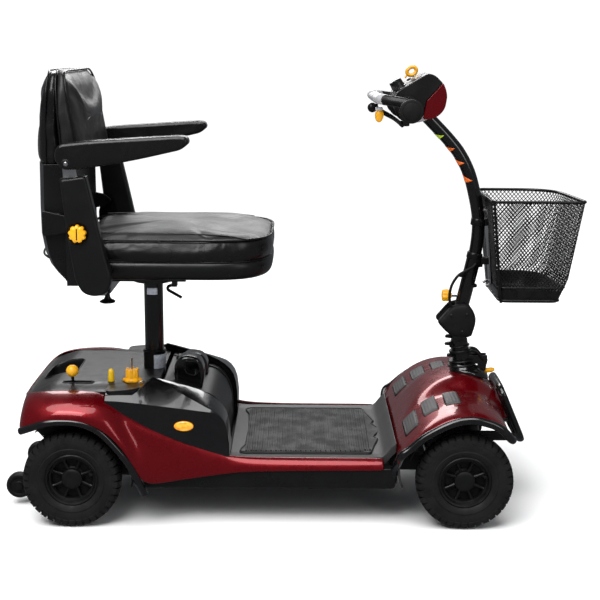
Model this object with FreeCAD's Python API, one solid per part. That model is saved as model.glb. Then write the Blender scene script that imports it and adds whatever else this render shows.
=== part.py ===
import FreeCAD, Part
import math
import os

# Four-wheel mobility scooter. Millimetres. +X forward, +Y to the rider's left, +Z up.
# The origin is on the ground, at the middle of the overall length and width.

Vector = FreeCAD.Vector
os.makedirs("parts", exist_ok=True)

# ---------------------------------------------------------------- driving dimensions
GAP = 0.3                      # between plain faces of pieces that move past each other
RUN = 0.05                     # radial clearance of a shaft in its bore
WALL = 4.0                     # moulded cover thickness

WHEEL_R = 108.0
TYRE_W = 56.0
RIM_R = 59.0
RIM_W = 44.0
RIM_LIP = 6.0
HUB_R = 20.0
HUB_CAP_R = 24.0
HUB_CAP_T = 5.0
SPOKES = 8
SPOKE_T = 5.0
REAR_AXLE_X = -478.0
FRONT_AXLE_X = 386.0
AXLE_Z = WHEEL_R
TYRE_Y = 226.0                 # middle plane of every tyre
REAR_SHAFT_R = 8.5
STUB_R = 7.0

TIP_X = -624.0                 # anti-tip wheels
TIP_Y = 110.0
TIP_Z = 46.0
TIP_R = 30.0
TIP_W = 22.0
TIP_PIN_R = 4.0

RAIL_Y = 97.0                  # chassis rails
RAIL_W = 25.0
RAIL_Z0 = 88.0
RAIL_Z1 = 124.0
RAIL_X0 = -440.0
RAIL_X1 = 402.0
CROSS_W = 25.0

POST_X = -320.0
POST_R = 22.0
POST_Z0 = 205.0
POST_FLANGE_R = 46.0
POST_TOP = 515.0
POST_FLANGE_T = 7.0
SOCKET_R = 25.5
SOCKET_TOP = 345.0
SOCKET_FOOT_Z = 130.0

DECK_X0 = -130.0               # foot deck
DECK_X1 = 232.0
DECK_Y = 195.0
DECK_Z0 = 124.0
DECK_TOP = 145.0
MAT_T = 2.5
MAT_RIB_T = 1.5
MAT_RIB_W = 5.0
MAT_RIB_PITCH = 15.0
MAT_Y = 172.0
MAT_OUTLINE = [(-108, -172), (-118, -150), (-122, 0), (-118, 150), (-108, 172), (205, 172),
               (196, 90), (210, 72), (204, 40), (216, 18), (216, -18), (204, -40), (210, -72),
               (196, -90), (205, -172)]

SILL_Y0 = 196.0
SILL_Z0 = 111.0
SKIRT_Z0 = 83.0
SKIRT_Y0 = 198.0
SKIRT_Y1 = 221.0

REAR_X = -592.0                # rear bodywork
FENDER_Y = 262.0
REAR_ARCH_R = 132.0
ARCH_LIP = 11.0
REAR_SIDE_OUTLINE = [(-592, 226), (-580, 296), (-520, 303), (-440, 303), (-396, 290), (-364, 252),
                     (-310, 219), (-245, 189), (-150, 158), (-137, 147), (212, 147), (212, 111),
                     (-592, 111)]
REAR_PLAN_OUTLINE = [(-592, 222), (-592, 236), (-566, 262), (-385, 262), (-300, 246), (-160, 226),
                     (212, 226), (212, 196), (-126, 196), (-129, 217), (-560, 222)]
REAR_WALL_Z0 = 226.0
REAR_WALL_Z1 = 282.0
REAR_DECK_Z = 298.0
REAR_DECK_Y = 216.0
REAR_DECK_X0 = -586.0
REAR_DECK_X1 = -292.0
REAR_DECK_STEP_X = -404.0
REAR_DECK_NECK_Y = 148.0
GRAB_X0 = -573.0
GRAB_X1 = -492.0
GRAB_Y = 62.0
GRAB_DEPTH = 40.0
LEVER_SLOT_X0 = -512.0
LEVER_SLOT_X1 = -440.0
LEVER_SLOT_W = 12.0

POD_Y0 = 152.0                 # battery housing
POD_Y1 = 214.0
POD_OUTLINE = [(-400, 147), (-400, 284), (-215, 283), (-158, 266), (-131, 236), (-136, 147)]
TRAY_Z0 = 125.0
TRAY_Z1 = 129.0
TRAY_FRONT_X = -136.0
REFLECTOR_X = -232.0
REFLECTOR_Z = 227.0

BATTERY_X0 = -288.0
BATTERY_X1 = -142.0
BATTERY_Y = 148.0
BATTERY_Z0 = 130.0
BATTERY_TOP = 300.0
BATTERY_SHOULDER = (-178.0, 262.0)
BATTERY_NOSE_Z = 214.0
BATTERY_WALL = 3.0
CELL_SIZE = (98.0, 130.0, 98.0)
CELL_GAP = 6.0
HANDLE_Y = 60.0
HANDLE_HALF_W = 15.0
HANDLE_X0 = -266.0
HANDLE_X1 = -194.0
HANDLE_TOP = 349.0
HANDLE_BAR_X = -256.0
HANDLE_BAR_R = 12.0

PIVOT_LEAN = math.radians(8.0)  # steering axis leans back
STEER_BASE = Vector(431.6, 0.0, 108.0)
KINGPIN_Y = 180.0
KINGPIN_R = 6.0
KNUCKLE_R = 13.0
KNUCKLE_HALF = 20.0
EAR_R = 14.0
EAR_T = 8.0
ARM_LEN = 55.0
ARM_LEVEL = -15.0
ARM_T = 6.0
ARM_HALF_W = 7.0
TIE_LEVEL = -27.0
TIE_R = 6.0
TIE_PIN_R = 4.0
TIE_HOLE_R = 4.6
SHAFT_R = 14.0
SHAFT_S0 = -34.0
SHAFT_S1 = 141.0
HEAD_R = 24.0
HEAD_S0 = 16.0
HEAD_S1 = 136.0
COLUMN_R = 20.0
COLUMN_S1 = 266.0
TILT_S = 306.0                 # along the steering axis, from its base point to the tilt pivot
TILT_PIN_R = 6.0
FORK_Y0 = 12.0
FORK_Y1 = 17.0
COVER_Y0 = 19.0
COVER_Y1 = 33.0
COVER_OUTLINE = [(343, 421), (371, 455), (411, 456), (428, 430), (421, 392), (411, 384), (378, 384)]
LATCH_PIVOT = Vector(455.0, 0.0, 324.0)
LATCH_PIN_R = 4.0

SLEEVE_R = 16.5                # tiller
STEM_R = 13.5
TILLER_PATH = [(426, 577), (430, 625), (428, 672), (415, 728), (390, 792), (352, 840), (304, 885)]
SLEEVE_FOOT = Vector(394.0, 0.0, 440.0)
SLEEVE_TOP = Vector(426.0, 0.0, 577.0)
TONGUE_HALF = 11.5
TONGUE_R = 17.0
KNOB_CENTRE = Vector(362.0, 0.0, 477.0)
KNOB_R = 14.0
KNOB_T = 22.0

CONSOLE_OUTLINE = [(240, 905), (233, 945), (256, 961), (298, 986), (315, 976), (295, 930),
                   (285, 890), (262, 880)]
PANEL_X = 231.0
PANEL_Z = 945.0
PANEL_RISE = 0.5725
NOSE_OUTLINE = [(317, 976), (331, 964), (339, 939), (335, 912), (310, 889), (287, 886), (297, 930)]
CONSOLE_Y = 82.0
NOSE_Y = 80.0
GRIP_X = 252.0
GRIP_Z = 910.0
GRIP_R = 22.0
GRIP_END_R = 25.0
GRIP_Y0 = 84.0
GRIP_Y1 = 202.0
LOOP_R = 13.0
LOOP_PATH = [(254, -150), (200, -132), (190, -80), (190, 80), (200, 132), (254, 150)]
LOOP_Z = 932.0
LOOP_TAIL_Z = 925.0
CABLE_R = 3.0
CABLE_PATH = [(412, 8, 556), (399, 22, 546), (386, 24, 520), (380, 24, 496), (394, 21, 470), (400, 8, 462)]
THROTTLE_PIVOT = Vector(254.0, 0.0, 868.0)
THROTTLE_ELBOW = Vector(214.0, 42.0, 882.0)
THROTTLE_TIP = Vector(191.0, 80.0, 900.0)
THROTTLE_PIN_R = 5.0
PADDLE_R = 12.0
DIAL_X = 239.0
DIAL_Y = -30.0
DIAL_R = 15.0
DIAL_H = 20.0
KEY_X = 279.0
KEY_Y = 22.0
PANEL_LEAN = math.radians(28.6)  # slope of the console's top face

BASKET_RIM = (448.0, 654.0, 122.0, 711.0)       # rear X, front X, half width, height
BASKET_FLOOR = (468.0, 604.0, 104.0, 480.0)
BASKET_T = 4.0
BRACKET_Y = 44.0
BRACKET_T = 3.0
BRACKET_FOOT = (457.0, 505.0)
BRACKET_TOP = (440.5, 716.0)

SEAT_X0 = -468.0               # seat
SEAT_X1 = -42.0
SEAT_Y = 195.0
SHELL_Z0 = 541.0
SHELL_Z1 = 584.0
CUSHION_TOP = 646.0
SEAT_CORNER_R = 45.0
SEAT_FRONT_CUT = 66.0
CUT_PER_INSET = 2.0 - math.sqrt(2.0)
SWIVEL_Z0 = POST_TOP + GAP
SWIVEL_X0 = -400.0
SWIVEL_X1 = -240.0
SWIVEL_Y = 55.0
UPRIGHT_Y0 = 214.0
UPRIGHT_Y1 = 219.0
HINGE_X = -455.0
HINGE_Z = 668.0
HINGE_PIN_R = 5.0
RECEIVER_X = -403.0
RECEIVER_HALF = 13.0
SLIDE_HALF = 9.0
SLIDE_Z = 528.0

SWIVEL_LEVER = Vector(-266.0, -43.0, 508.0)

ARM_LEAN = math.radians(9.3)   # armrest uprights lean back
ARM_Y0 = 232.0
ARM_Y1 = 260.0
ARM_MID_Y = 246.0
SLEEVE_OUTLINE = [(-478, 768), (-424, 776), (-388, 600), (-374, 556), (-386, 527), (-432, 527),
                  (-454, 556)]
POST_BAR_HALF = 17.0
POST_BAR_HALF_Y = 8.0
ARM_PIVOT = Vector(-463.0, 0.0, 802.0)
ARM_PIN_R = 5.0
TONGUE_HALF_Y = 6.0
ARMREST_OUTLINE = [(-478, 841), (-222, 860), (-209, 846), (-226, 831), (-434, 790), (-470, 790),
                   (-488, 815)]
ARMREST_HALF_W = 22.0
ARM_KNOB_X = -444.0
ARM_KNOB_Z = 657.0
ARM_KNOB_R = 19.0
ARM_KNOB_Y1 = 275.0

BACK_Y = 196.0                 # backrest
BACK_Z0 = 500.0
BACK_Z1 = 1000.0
BACK_PLAN = [(-524, -196), (-557, -90), (-557, 90), (-524, 196), (-440, 196), (-440, -196)]
BACK_PLAN_R = 20.0
BACK_SHELL_OUTLINE = [(-556, 792), (-557, 640), (-544, 585), (-514, 541), (-496, 539), (-483, 580),
                      (-480, 640), (-481, 792)]
BACK_SHELL_R = 14.0
BACK_PAD_OUTLINE = [(-557, 796), (-557, 900), (-552, 966), (-536, 986), (-490, 988), (-470, 960),
                    (-450, 850), (-448, 796)]
BACK_PAD_R = 22.0
EAR_ROOT_X = -530.0
EAR_CLEAR_X = -478.0

FREEWHEEL_PIVOT = Vector(-486.0, -140.0, 232.0)
FREEWHEEL_BALL_Z = 327.0
BUTTON_POS = (-403.0, -130.0)
LOCK_KNOB_POS = (-356.0, -128.0)

HOOD_OUTLINE = [(236, 150), (238, 190), (262, 226), (292, 259), (338, 284), (400, 290), (446, 284),
                (478, 258), (500, 212), (512, 170), (512, 150)]
FENDER_OUTLINE = [(236, 150), (237, 178), (262, 212), (308, 252), (350, 267), (400, 271),
                  (444, 262), (470, 238), (484, 206), (486, 150)]
HOOD_Y = 78.0
FRONT_ARCH = (394.0, 116.0, 131.0)               # centre X, centre Z, radius
FRONT_FENDER_Y = 260.0
FENDER_FRONT_Z = 206.0
PATCH_X = (278.0, 322.0, 366.0)
BUMPER_TOP = (488.0, 274.0)
BUMPER_FOOT = (536.0, 160.0)
BUMPER_Y = 112.0
BUMPER_R = 9.0
BOOT_R = 42.0
BOOT_DISC_T = 6.0
BOOT_CONE_R0 = 36.0
BOOT_CONE_R1 = 26.0
BOOT_CONE_H = 13.0
BOOT_S = 187.0


# ---------------------------------------------------------------- shape helpers
def box(x0, x1, y0, y1, z0, z1):
    return Part.makeBox(x1 - x0, y1 - y0, z1 - z0, Vector(x0, y0, z0))


def rod(start, end, radius):
    line = end - start
    return Part.makeCylinder(radius, line.Length, start, line)


def tube(start, end, outer, inner):
    return rod(start, end, outer).cut(rod(start, end, inner))


def mirrored(shape):
    return shape.mirror(Vector(0, 0, 0), Vector(0, 1, 0))


def corner(before, point, after, radius):
    """Tangent points and middle point of the arc that rounds one corner."""
    back = (before - point)
    ahead = (after - point)
    room = 0.49 * min(back.Length, ahead.Length)
    back.normalize()
    ahead.normalize()
    half = back.getAngle(ahead) / 2.0
    reach = min(radius / math.tan(half), room)
    arc_r = reach * math.tan(half)
    bisector = back + ahead
    bisector.normalize()
    centre = point + bisector * (arc_r / math.sin(half))
    return point + back * reach, centre - bisector * arc_r, point + ahead * reach


def rounded_face(points, radius):
    """Flat face inside a closed outline whose corners are rounded with arcs."""
    edges = []
    count = len(points)
    corners = []
    for i in range(count):
        corners.append(corner(points[i - 1], points[i], points[(i + 1) % count], radius))
    for i in range(count):
        start, middle, end = corners[i]
        edges.append(Part.Arc(start, middle, end).toShape())
        edges.append(Part.LineSegment(end, corners[(i + 1) % count][0]).toShape())
    return Part.Face(Part.Wire(edges))


def face_xz(outline, y, radius):
    return rounded_face([Vector(x, y, z) for x, z in outline], radius)


def slab_xz(outline, y0, y1, radius):
    """Outline in the X-Z plane, carried from y0 to y1."""
    return face_xz(outline, y0, radius).extrude(Vector(0, y1 - y0, 0))


def face_xy(outline, z, radius):
    return rounded_face([Vector(x, y, z) for x, y in outline], radius)


def slab_xy(outline, z0, z1, radius):
    """Outline in the X-Y plane, carried from z0 to z1."""
    return face_xy(outline, z0, radius).extrude(Vector(0, 0, z1 - z0))


def inset_slab_xz(outline, y0, y1, radius, inset):
    """Same outline drawn in by a wall's thickness."""
    face = face_xz(outline, y0, radius).makeOffset2D(-inset)
    return face.extrude(Vector(0, y1 - y0, 0))


def bent_tube(points, radius, bend):
    """Round bar along straight runs joined by tangent arcs."""
    edges = []
    start = points[0]
    for i in range(1, len(points) - 1):
        first, middle, last = corner(points[i - 1], points[i], points[i + 1], bend)
        if (first - start).Length > 0.01:
            edges.append(Part.LineSegment(start, first).toShape())
        edges.append(Part.Arc(first, middle, last).toShape())
        start = last
    edges.append(Part.LineSegment(start, points[-1]).toShape())
    circle = Part.makeCircle(radius, points[0], points[1] - points[0])
    return Part.Wire(edges).makePipeShell([Part.Wire(circle)], True, False)


def ring_around_y(outline, x, z):
    """Turn an outline of (radius, y) points about an axle along Y."""
    points = [Vector(0, y, r) for r, y in outline]
    face = Part.Face(Part.makePolygon(points + [points[0]]))
    turned = face.revolve(Vector(0, 0, 0), Vector(0, 1, 0), 360)
    turned.translate(Vector(x, 0, z))
    return turned


def fused(shapes):
    whole = shapes[0]
    for shape in shapes[1:]:
        whole = whole.fuse(shape)
    return whole.removeSplitter()


def save(node, shapes):
    solids = []
    for shape in shapes:
        solids.extend(shape.Solids)
    Part.makeCompound(solids).exportStep("parts/" + node + ".step")
    print(node, len(solids), round(sum(s.Volume for s in solids) / 1000.0, 1), "cm3")


AXIS = Vector(-math.sin(PIVOT_LEAN), 0, math.cos(PIVOT_LEAN))
FORE = Vector(math.cos(PIVOT_LEAN), 0, math.sin(PIVOT_LEAN))


def on_steering(s):
    """Point on the steering axis, s along it from its base point."""
    return STEER_BASE + AXIS * s


def on_kingpin(s, side):
    return Vector(FRONT_AXLE_X, side * KINGPIN_Y, AXLE_Z) + AXIS * s


# ---------------------------------------------------------------- wheels
def tyre(x, side):
    half = TYRE_W / 2.0
    outline = [(RIM_R, -21), (RIM_R + 14, -half + 1), (WHEEL_R - 24, -half), (WHEEL_R - 8, -half + 5),
               (WHEEL_R, -half + 14), (WHEEL_R, half - 14), (WHEEL_R - 8, half - 5),
               (WHEEL_R - 24, half), (RIM_R + 14, half - 1), (RIM_R, 21)]
    body = ring_around_y(outline, x, AXLE_Z)
    body.translate(Vector(0, side * TYRE_Y, 0))
    return body


def rim(x, side, bore, blind):
    """Spoked rim: outer band, back web, ribs like spokes, and a hub bored for its axle."""
    inner = -RIM_W / 2.0
    outer = RIM_W / 2.0
    band = ring_around_y([(RIM_R - RIM_LIP, inner), (RIM_R, inner), (RIM_R, outer),
                          (RIM_R - RIM_LIP, outer)], 0, 0)
    web = ring_around_y([(bore + 1, -4), (RIM_R - RIM_LIP + 1, -4), (RIM_R - RIM_LIP + 1, 1),
                         (bore + 1, 1)], 0, 0)
    hub_outer = outer - HUB_CAP_T
    if blind:
        hub = rod(Vector(0, inner + 4, 0), Vector(0, hub_outer, 0), HUB_R)
        hub = hub.cut(rod(Vector(0, inner + 4, 0), Vector(0, hub_outer - 3, 0), bore))
    else:
        hub = tube(Vector(0, inner + 4, 0), Vector(0, hub_outer, 0), HUB_R, bore)
    pieces = [band, web, hub]
    for i in range(SPOKES):
        spoke = box(HUB_R - 2, RIM_R - RIM_LIP + 1, 0, hub_outer - 2, -SPOKE_T / 2.0, SPOKE_T / 2.0)
        spoke.rotate(Vector(0, 0, 0), Vector(0, 1, 0), (i + 0.5) * 360.0 / SPOKES)
        pieces.append(spoke)
    body = fused(pieces)
    if side < 0:
        body = mirrored(body)
    body.translate(Vector(x, side * TYRE_Y, AXLE_Z))
    return body


def hub_cap(x, side):
    y = side * (TYRE_Y + RIM_W / 2.0 - HUB_CAP_T)
    cap = rod(Vector(x, y, AXLE_Z), Vector(x, y + side * HUB_CAP_T, AXLE_Z), HUB_CAP_R)
    return cap


def rear_shaft(side):
    start = Vector(REAR_AXLE_X, side * 50, AXLE_Z)
    end = Vector(REAR_AXLE_X, side * (TYRE_Y + RIM_W / 2.0 - HUB_CAP_T), AXLE_Z)
    return rod(start, end, REAR_SHAFT_R)


def tip_wheel(side):
    half = TIP_W / 2.0
    outline = [(TIP_PIN_R + RUN, -half), (TIP_R - 5, -half), (TIP_R, -half + 5), (TIP_R, half - 5),
               (TIP_R - 5, half), (TIP_PIN_R + RUN, half)]
    wheel = ring_around_y(outline, TIP_X, TIP_Z)
    wheel.translate(Vector(0, side * TIP_Y, 0))
    return wheel


def build_wheels():
    for name, side in (("right", -1), ("left", 1)):
        save("tyre_rear_" + name, [tyre(REAR_AXLE_X, side)])
        save("tyre_front_" + name, [tyre(FRONT_AXLE_X, side)])
        save("rim_rear_" + name, [rim(REAR_AXLE_X, side, REAR_SHAFT_R, False),
                                  hub_cap(REAR_AXLE_X, side), rear_shaft(side)])
        save("rim_front_" + name, [rim(FRONT_AXLE_X, side, STUB_R + RUN, True),
                                   hub_cap(FRONT_AXLE_X, side)])
        save("anti_tip_wheel_" + name, [tip_wheel(side)])


# ---------------------------------------------------------------- chassis
def rails():
    pieces = []
    for side in (-1, 1):
        y0 = side * RAIL_Y - RAIL_W / 2.0
        pieces.append(box(RAIL_X0, RAIL_X1, y0, y0 + RAIL_W, RAIL_Z0, RAIL_Z1))
    for x in (RAIL_X0, POST_X - CROSS_W / 2.0, DECK_X0, 40.0, DECK_X1 - CROSS_W):
        pieces.append(box(x, x + CROSS_W, -RAIL_Y, RAIL_Y, RAIL_Z0, RAIL_Z1))
    return pieces


def post_socket():
    foot = Vector(POST_X, 0, RAIL_Z0)
    floor = Vector(POST_X, 0, SOCKET_FOOT_Z)
    top = Vector(POST_X, 0, SOCKET_TOP)
    return [rod(foot, floor, SOCKET_R), tube(floor, top, SOCKET_R, POST_R + RUN)]


def front_axle_beam():
    """Cross beam with a yoke and kingpin at each end, and the steering head."""
    half = 12.0
    beam = box(FRONT_AXLE_X - half, FRONT_AXLE_X + half, -157, 157, 93, 123)
    pieces = [beam]
    ear_in = KNUCKLE_HALF + GAP
    for side in (-1, 1):
        web = box(FRONT_AXLE_X - half, FRONT_AXLE_X + half, min(side * 149, side * 157),
                  max(side * 149, side * 157), 76, 140)
        pieces.append(web)
        for sign in (-1, 1):
            low = on_kingpin(sign * ear_in, side)
            high = on_kingpin(sign * (ear_in + EAR_T), side)
            pieces.append(rod(low, high, EAR_R))
            bar = box(-half, half, 0, 28, 0, EAR_T)
            bar.rotate(Vector(0, 0, 0), Vector(0, 1, 0), -math.degrees(PIVOT_LEAN))
            level = on_kingpin(sign * ear_in if sign > 0 else -ear_in - EAR_T, 0)
            bar.translate(Vector(level.x, 152, level.z))
            if side < 0:
                bar = mirrored(bar)
            pieces.append(bar)
        pieces.append(rod(on_kingpin(-ear_in, side), on_kingpin(ear_in, side), KINGPIN_R))
    head = rod(on_steering(HEAD_S0), on_steering(HEAD_S1), HEAD_R)
    gusset = box(FRONT_AXLE_X - half, 428, -14, 14, 100, 170)
    neck = box(392, 420, -14, 14, 150, 200)
    bore = rod(on_steering(HEAD_S0 - 60), on_steering(HEAD_S1 + 1), SHAFT_R + RUN)
    whole = fused(pieces + [head, gusset, neck])
    return [whole.cut(bore)]


def tip_arms():
    pieces = []
    for side in (-1, 1):
        y = side * TIP_Y
        inner = y - side * (TIP_W / 2.0 + 1.0)
        arm_y = inner - side * 9
        path = [Vector(RAIL_X0 + 20, arm_y, 84), Vector(-452, arm_y, 74), Vector(-545, arm_y, 73),
                Vector(TIP_X, arm_y, TIP_Z)]
        pieces.append(bent_tube(path, 8.0, 30.0))
        pieces.append(rod(Vector(TIP_X, inner - side * 18, TIP_Z), Vector(TIP_X, inner, TIP_Z), 11.0))
        pieces.append(rod(Vector(TIP_X, inner, TIP_Z),
                          Vector(TIP_X, y + side * (TIP_W / 2.0 + 1.0), TIP_Z), TIP_PIN_R))
        pieces.append(rod(Vector(TIP_X, y + side * (TIP_W / 2.0 + 1.0), TIP_Z),
                          Vector(TIP_X, y + side * (TIP_W / 2.0 + 5.0), TIP_Z), 8.0))
    return pieces


def bumper_stays():
    pieces = []
    for side in (-1, 1):
        pieces.append(box(RAIL_X1 - 4, 506, side * 70 - 9, side * 70 + 9, 150, 168))
        pieces.append(box(RAIL_X1 - 20, RAIL_X1, min(side * 61, side * 109), max(side * 61, side * 109),
                          RAIL_Z0, 168))
    return pieces


def build_main_frame():
    save("main_frame", [fused(rails() + post_socket() + front_axle_beam() + tip_arms()
                              + bumper_stays())])


def build_transaxle():
    case = box(REAR_AXLE_X - 34, REAR_AXLE_X + 34, -44, 44, 66, 152)
    tubes = []
    for side in (-1, 1):
        tubes.append(rod(Vector(REAR_AXLE_X, side * 44, AXLE_Z), Vector(REAR_AXLE_X, side * 190, AXLE_Z),
                         19.0))
    gearbox = fused([case] + tubes)
    bore = rod(Vector(REAR_AXLE_X, -191, AXLE_Z), Vector(REAR_AXLE_X, 191, AXLE_Z), REAR_SHAFT_R + RUN)
    gearbox = gearbox.cut(bore)
    motor = rod(Vector(-390, -70, 166), Vector(-390, 76, 166), 40.0)
    bridge = box(REAR_AXLE_X + 34, -427, -30, 30, 126, 150)
    p = FREEWHEEL_PIVOT
    bracket = box(p.x - 10, p.x + 10, p.y - 12, p.y - 7, AXLE_Z + 10, p.z + 10)
    pin = rod(Vector(p.x, p.y - 7, p.z), Vector(p.x, p.y + 8, p.z), 4.0)
    save("transaxle", [fused([gearbox.cut(motor), bridge.cut(motor), bracket.cut(bore), pin]), motor])


# ---------------------------------------------------------------- deck and covers
def build_floor():
    outer = box(DECK_X0, DECK_X1, -DECK_Y, DECK_Y, DECK_Z0, DECK_TOP)
    inner = box(DECK_X0 + WALL, DECK_X1 - WALL, -DECK_Y + WALL, DECK_Y - WALL, DECK_Z0, DECK_TOP - WALL)
    save("floor_pan", [outer.cut(inner)])
    mat = slab_xy(MAT_OUTLINE, DECK_TOP, DECK_TOP + MAT_T, 6.0)
    ribs = []
    x = -112.0
    while x < 190.0:
        ribs.append(box(x, x + MAT_RIB_W, -MAT_Y + 16, MAT_Y - 16, DECK_TOP + MAT_T,
                        DECK_TOP + MAT_T + MAT_RIB_T))
        x += MAT_RIB_PITCH
    save("floor_mat", [fused([mat] + ribs)])


def wheel_well(x, z, radius, y0, y1):
    return rod(Vector(x, y0, z), Vector(x, y1, z), radius)


def side_panel():
    """Fender, sweep and sill of the left side, as one moulded skin."""
    outer = slab_xz(REAR_SIDE_OUTLINE, SILL_Y0, FENDER_Y, 14.0)
    outer = outer.common(slab_xy(REAR_PLAN_OUTLINE, 100, 320, 3.0))
    inner = inset_slab_xz(REAR_SIDE_OUTLINE, SILL_Y0 - 5, FENDER_Y - WALL, 14.0, WALL)
    plan_in = [(x, y - WALL) for x, y in REAR_PLAN_OUTLINE[1:7]]
    plan_in[0] = (-592 + WALL, 236 - WALL)
    plan_in[-1] = (212 - WALL, 226 - WALL)
    plan = plan_in + [(212 - WALL, 180), (-592 + WALL, 180)]
    inner = inner.common(slab_xy(plan, 90, 320, 3.0))
    inner = inner.fuse(inner.translated(Vector(0, 0, -30)))
    skin = outer.cut(inner)
    well = wheel_well(REAR_AXLE_X, AXLE_Z, REAR_ARCH_R + ARCH_LIP, 190, 300)
    skin = skin.cut(well)
    skin = skin.cut(box(-640, REAR_AXLE_X - 77, 180, 300, 90, REAR_WALL_Z0))
    biggest = sorted(skin.Solids, key=lambda solid: solid.Volume)[-1]
    return biggest


def build_rear_shroud():
    left = side_panel()
    back = box(REAR_X, REAR_X + WALL, -222, 222, REAR_WALL_Z0, REAR_WALL_Z1)
    save("rear_shroud", [left, mirrored(left), back])


def rear_deck_plan():
    neck = REAR_DECK_NECK_Y
    return [(REAR_DECK_X0, -REAR_DECK_Y + 30), (REAR_DECK_X0 + 24, -REAR_DECK_Y),
            (REAR_DECK_STEP_X, -REAR_DECK_Y), (REAR_DECK_STEP_X, -neck), (REAR_DECK_X1, -neck),
            (REAR_DECK_X1, neck), (REAR_DECK_STEP_X, neck), (REAR_DECK_STEP_X, REAR_DECK_Y),
            (REAR_DECK_X0 + 24, REAR_DECK_Y), (REAR_DECK_X0, REAR_DECK_Y - 30)]


def build_rear_deck():
    top = slab_xy(rear_deck_plan(), REAR_DECK_Z - WALL, REAR_DECK_Z, 2.0)
    rim_wall = box(REAR_DECK_X0, REAR_DECK_X0 + WALL, -180, 180, 244, REAR_DECK_Z - WALL)
    collar = box(GRAB_X0 - WALL, GRAB_X1 + WALL, -GRAB_Y - WALL, GRAB_Y + WALL,
                 REAR_DECK_Z - GRAB_DEPTH, REAR_DECK_Z - WALL)
    whole = fused([top, rim_wall, collar])
    grab = box(GRAB_X0, GRAB_X1, -GRAB_Y, GRAB_Y, REAR_DECK_Z - GRAB_DEPTH - 1, REAR_DECK_Z + 1)
    slot = box(LEVER_SLOT_X0, LEVER_SLOT_X1, FREEWHEEL_PIVOT.y - LEVER_SLOT_W / 2.0,
               FREEWHEEL_PIVOT.y + LEVER_SLOT_W / 2.0, REAR_DECK_Z - WALL - 1, REAR_DECK_Z + 1)
    socket = rod(Vector(POST_X, 0, 240), Vector(POST_X, 0, 310), SOCKET_R + 1.0)
    button = rod(Vector(BUTTON_POS[0], BUTTON_POS[1], 280), Vector(BUTTON_POS[0], BUTTON_POS[1], 310),
                 5.0 + RUN)
    knob = rod(Vector(LOCK_KNOB_POS[0], LOCK_KNOB_POS[1], 280),
               Vector(LOCK_KNOB_POS[0], LOCK_KNOB_POS[1], 310), 5.0 + RUN)
    for hole in (grab, slot, socket, button, knob):
        whole = whole.cut(hole)
    save("rear_deck_cover", [whole])


def build_battery_housing():
    outer = slab_xz(POD_OUTLINE, POD_Y0, POD_Y1, 16.0)
    inner = inset_slab_xz(POD_OUTLINE, POD_Y0 + WALL, POD_Y1 - WALL, 16.0, WALL)
    inner = inner.fuse(inner.translated(Vector(0, 0, -20)))
    pod = outer.cut(inner)
    pod = pod.cut(wheel_well(REAR_AXLE_X, AXLE_Z, 120.0, 190, 300))
    pod = sorted(pod.Solids, key=lambda solid: solid.Volume)[-1]
    tray = box(BATTERY_X0 - 4, TRAY_FRONT_X, -POD_Y0, POD_Y0, TRAY_Z0, TRAY_Z1)
    save("battery_housing", [pod, mirrored(pod), tray])


def arch_lip(x, z, radius, start_deg, end_deg, side, y0, y1):
    """Rubber lip around a wheel arch, between two angles measured from forward, over the top."""
    ring = tube(Vector(x, y0, z), Vector(x, y1, z), radius + ARCH_LIP - 0.5, radius)
    far = 400.0
    points = [Vector(x, y0, z)]
    steps = 6
    for i in range(steps + 1):
        angle = math.radians(start_deg + (end_deg - start_deg) * i / steps)
        points.append(Vector(x + far * math.cos(angle), y0, z + far * math.sin(angle)))
    wedge = Part.Face(Part.makePolygon(points + [points[0]])).extrude(Vector(0, y1 - y0, 0))
    lip = ring.common(wedge)
    if side < 0:
        lip = mirrored(lip)
    return lip


def arch_trims():
    pieces = []
    for side in (-1, 1):
        pieces.append(arch_lip(REAR_AXLE_X, AXLE_Z, REAR_ARCH_R, 3, 125, side, 240, FENDER_Y))
        tail = box(REAR_X, -556, 244, FENDER_Y, 215, 225.5)
        if side < 0:
            tail = mirrored(tail)
        pieces.append(tail)
        pieces.append(arch_lip(FRONT_ARCH[0], FRONT_ARCH[1], FRONT_ARCH[2], 44, 158, side, 240,
                               FRONT_FENDER_Y))
    return pieces


def open_below(outline, y0, y1, low, high):
    """Skin under a side outline from y0 to y1, hollow between low and high and open underneath."""
    outer = slab_xz(outline, y0, y1, 12.0)
    inner = inset_slab_xz(outline, low, high, 12.0, WALL)
    return outer.cut(inner.fuse(inner.translated(Vector(0, 0, -WALL - 2.0))))


def build_front_shroud():
    hood = open_below(HOOD_OUTLINE, -HOOD_Y, HOOD_Y, -HOOD_Y + WALL, HOOD_Y - WALL)
    fender = open_below(FENDER_OUTLINE, HOOD_Y - WALL, FRONT_FENDER_Y, HOOD_Y - WALL - 1,
                        FRONT_FENDER_Y - WALL)
    arch_x, arch_z, arch_r = FRONT_ARCH
    fender = fender.cut(wheel_well(arch_x, arch_z, arch_r + ARCH_LIP, 190, 300))
    fender = fender.cut(wheel_well(FRONT_AXLE_X, AXLE_Z, 124.0, 120, 300))
    fender = fender.cut(box(200, 540, 190, 300, 140, 168))
    fender = fender.cut(box(arch_x, 540, 190, 300, 140, FENDER_FRONT_Z))
    whole = fused([hood, fender, mirrored(fender)])
    whole = whole.cut(inset_slab_xz(HOOD_OUTLINE, -HOOD_Y + WALL, HOOD_Y - WALL, 12.0, WALL))
    whole = whole.cut(rod(on_steering(100), on_steering(240), 30.0))
    for side in (-1, 1):
        whole = whole.cut(box(378, 520, side * 70 - 11, side * 70 + 11, 140, 172))
    save("front_shroud", [sorted(whole.Solids, key=lambda solid: solid.Volume)[-1]])


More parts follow.
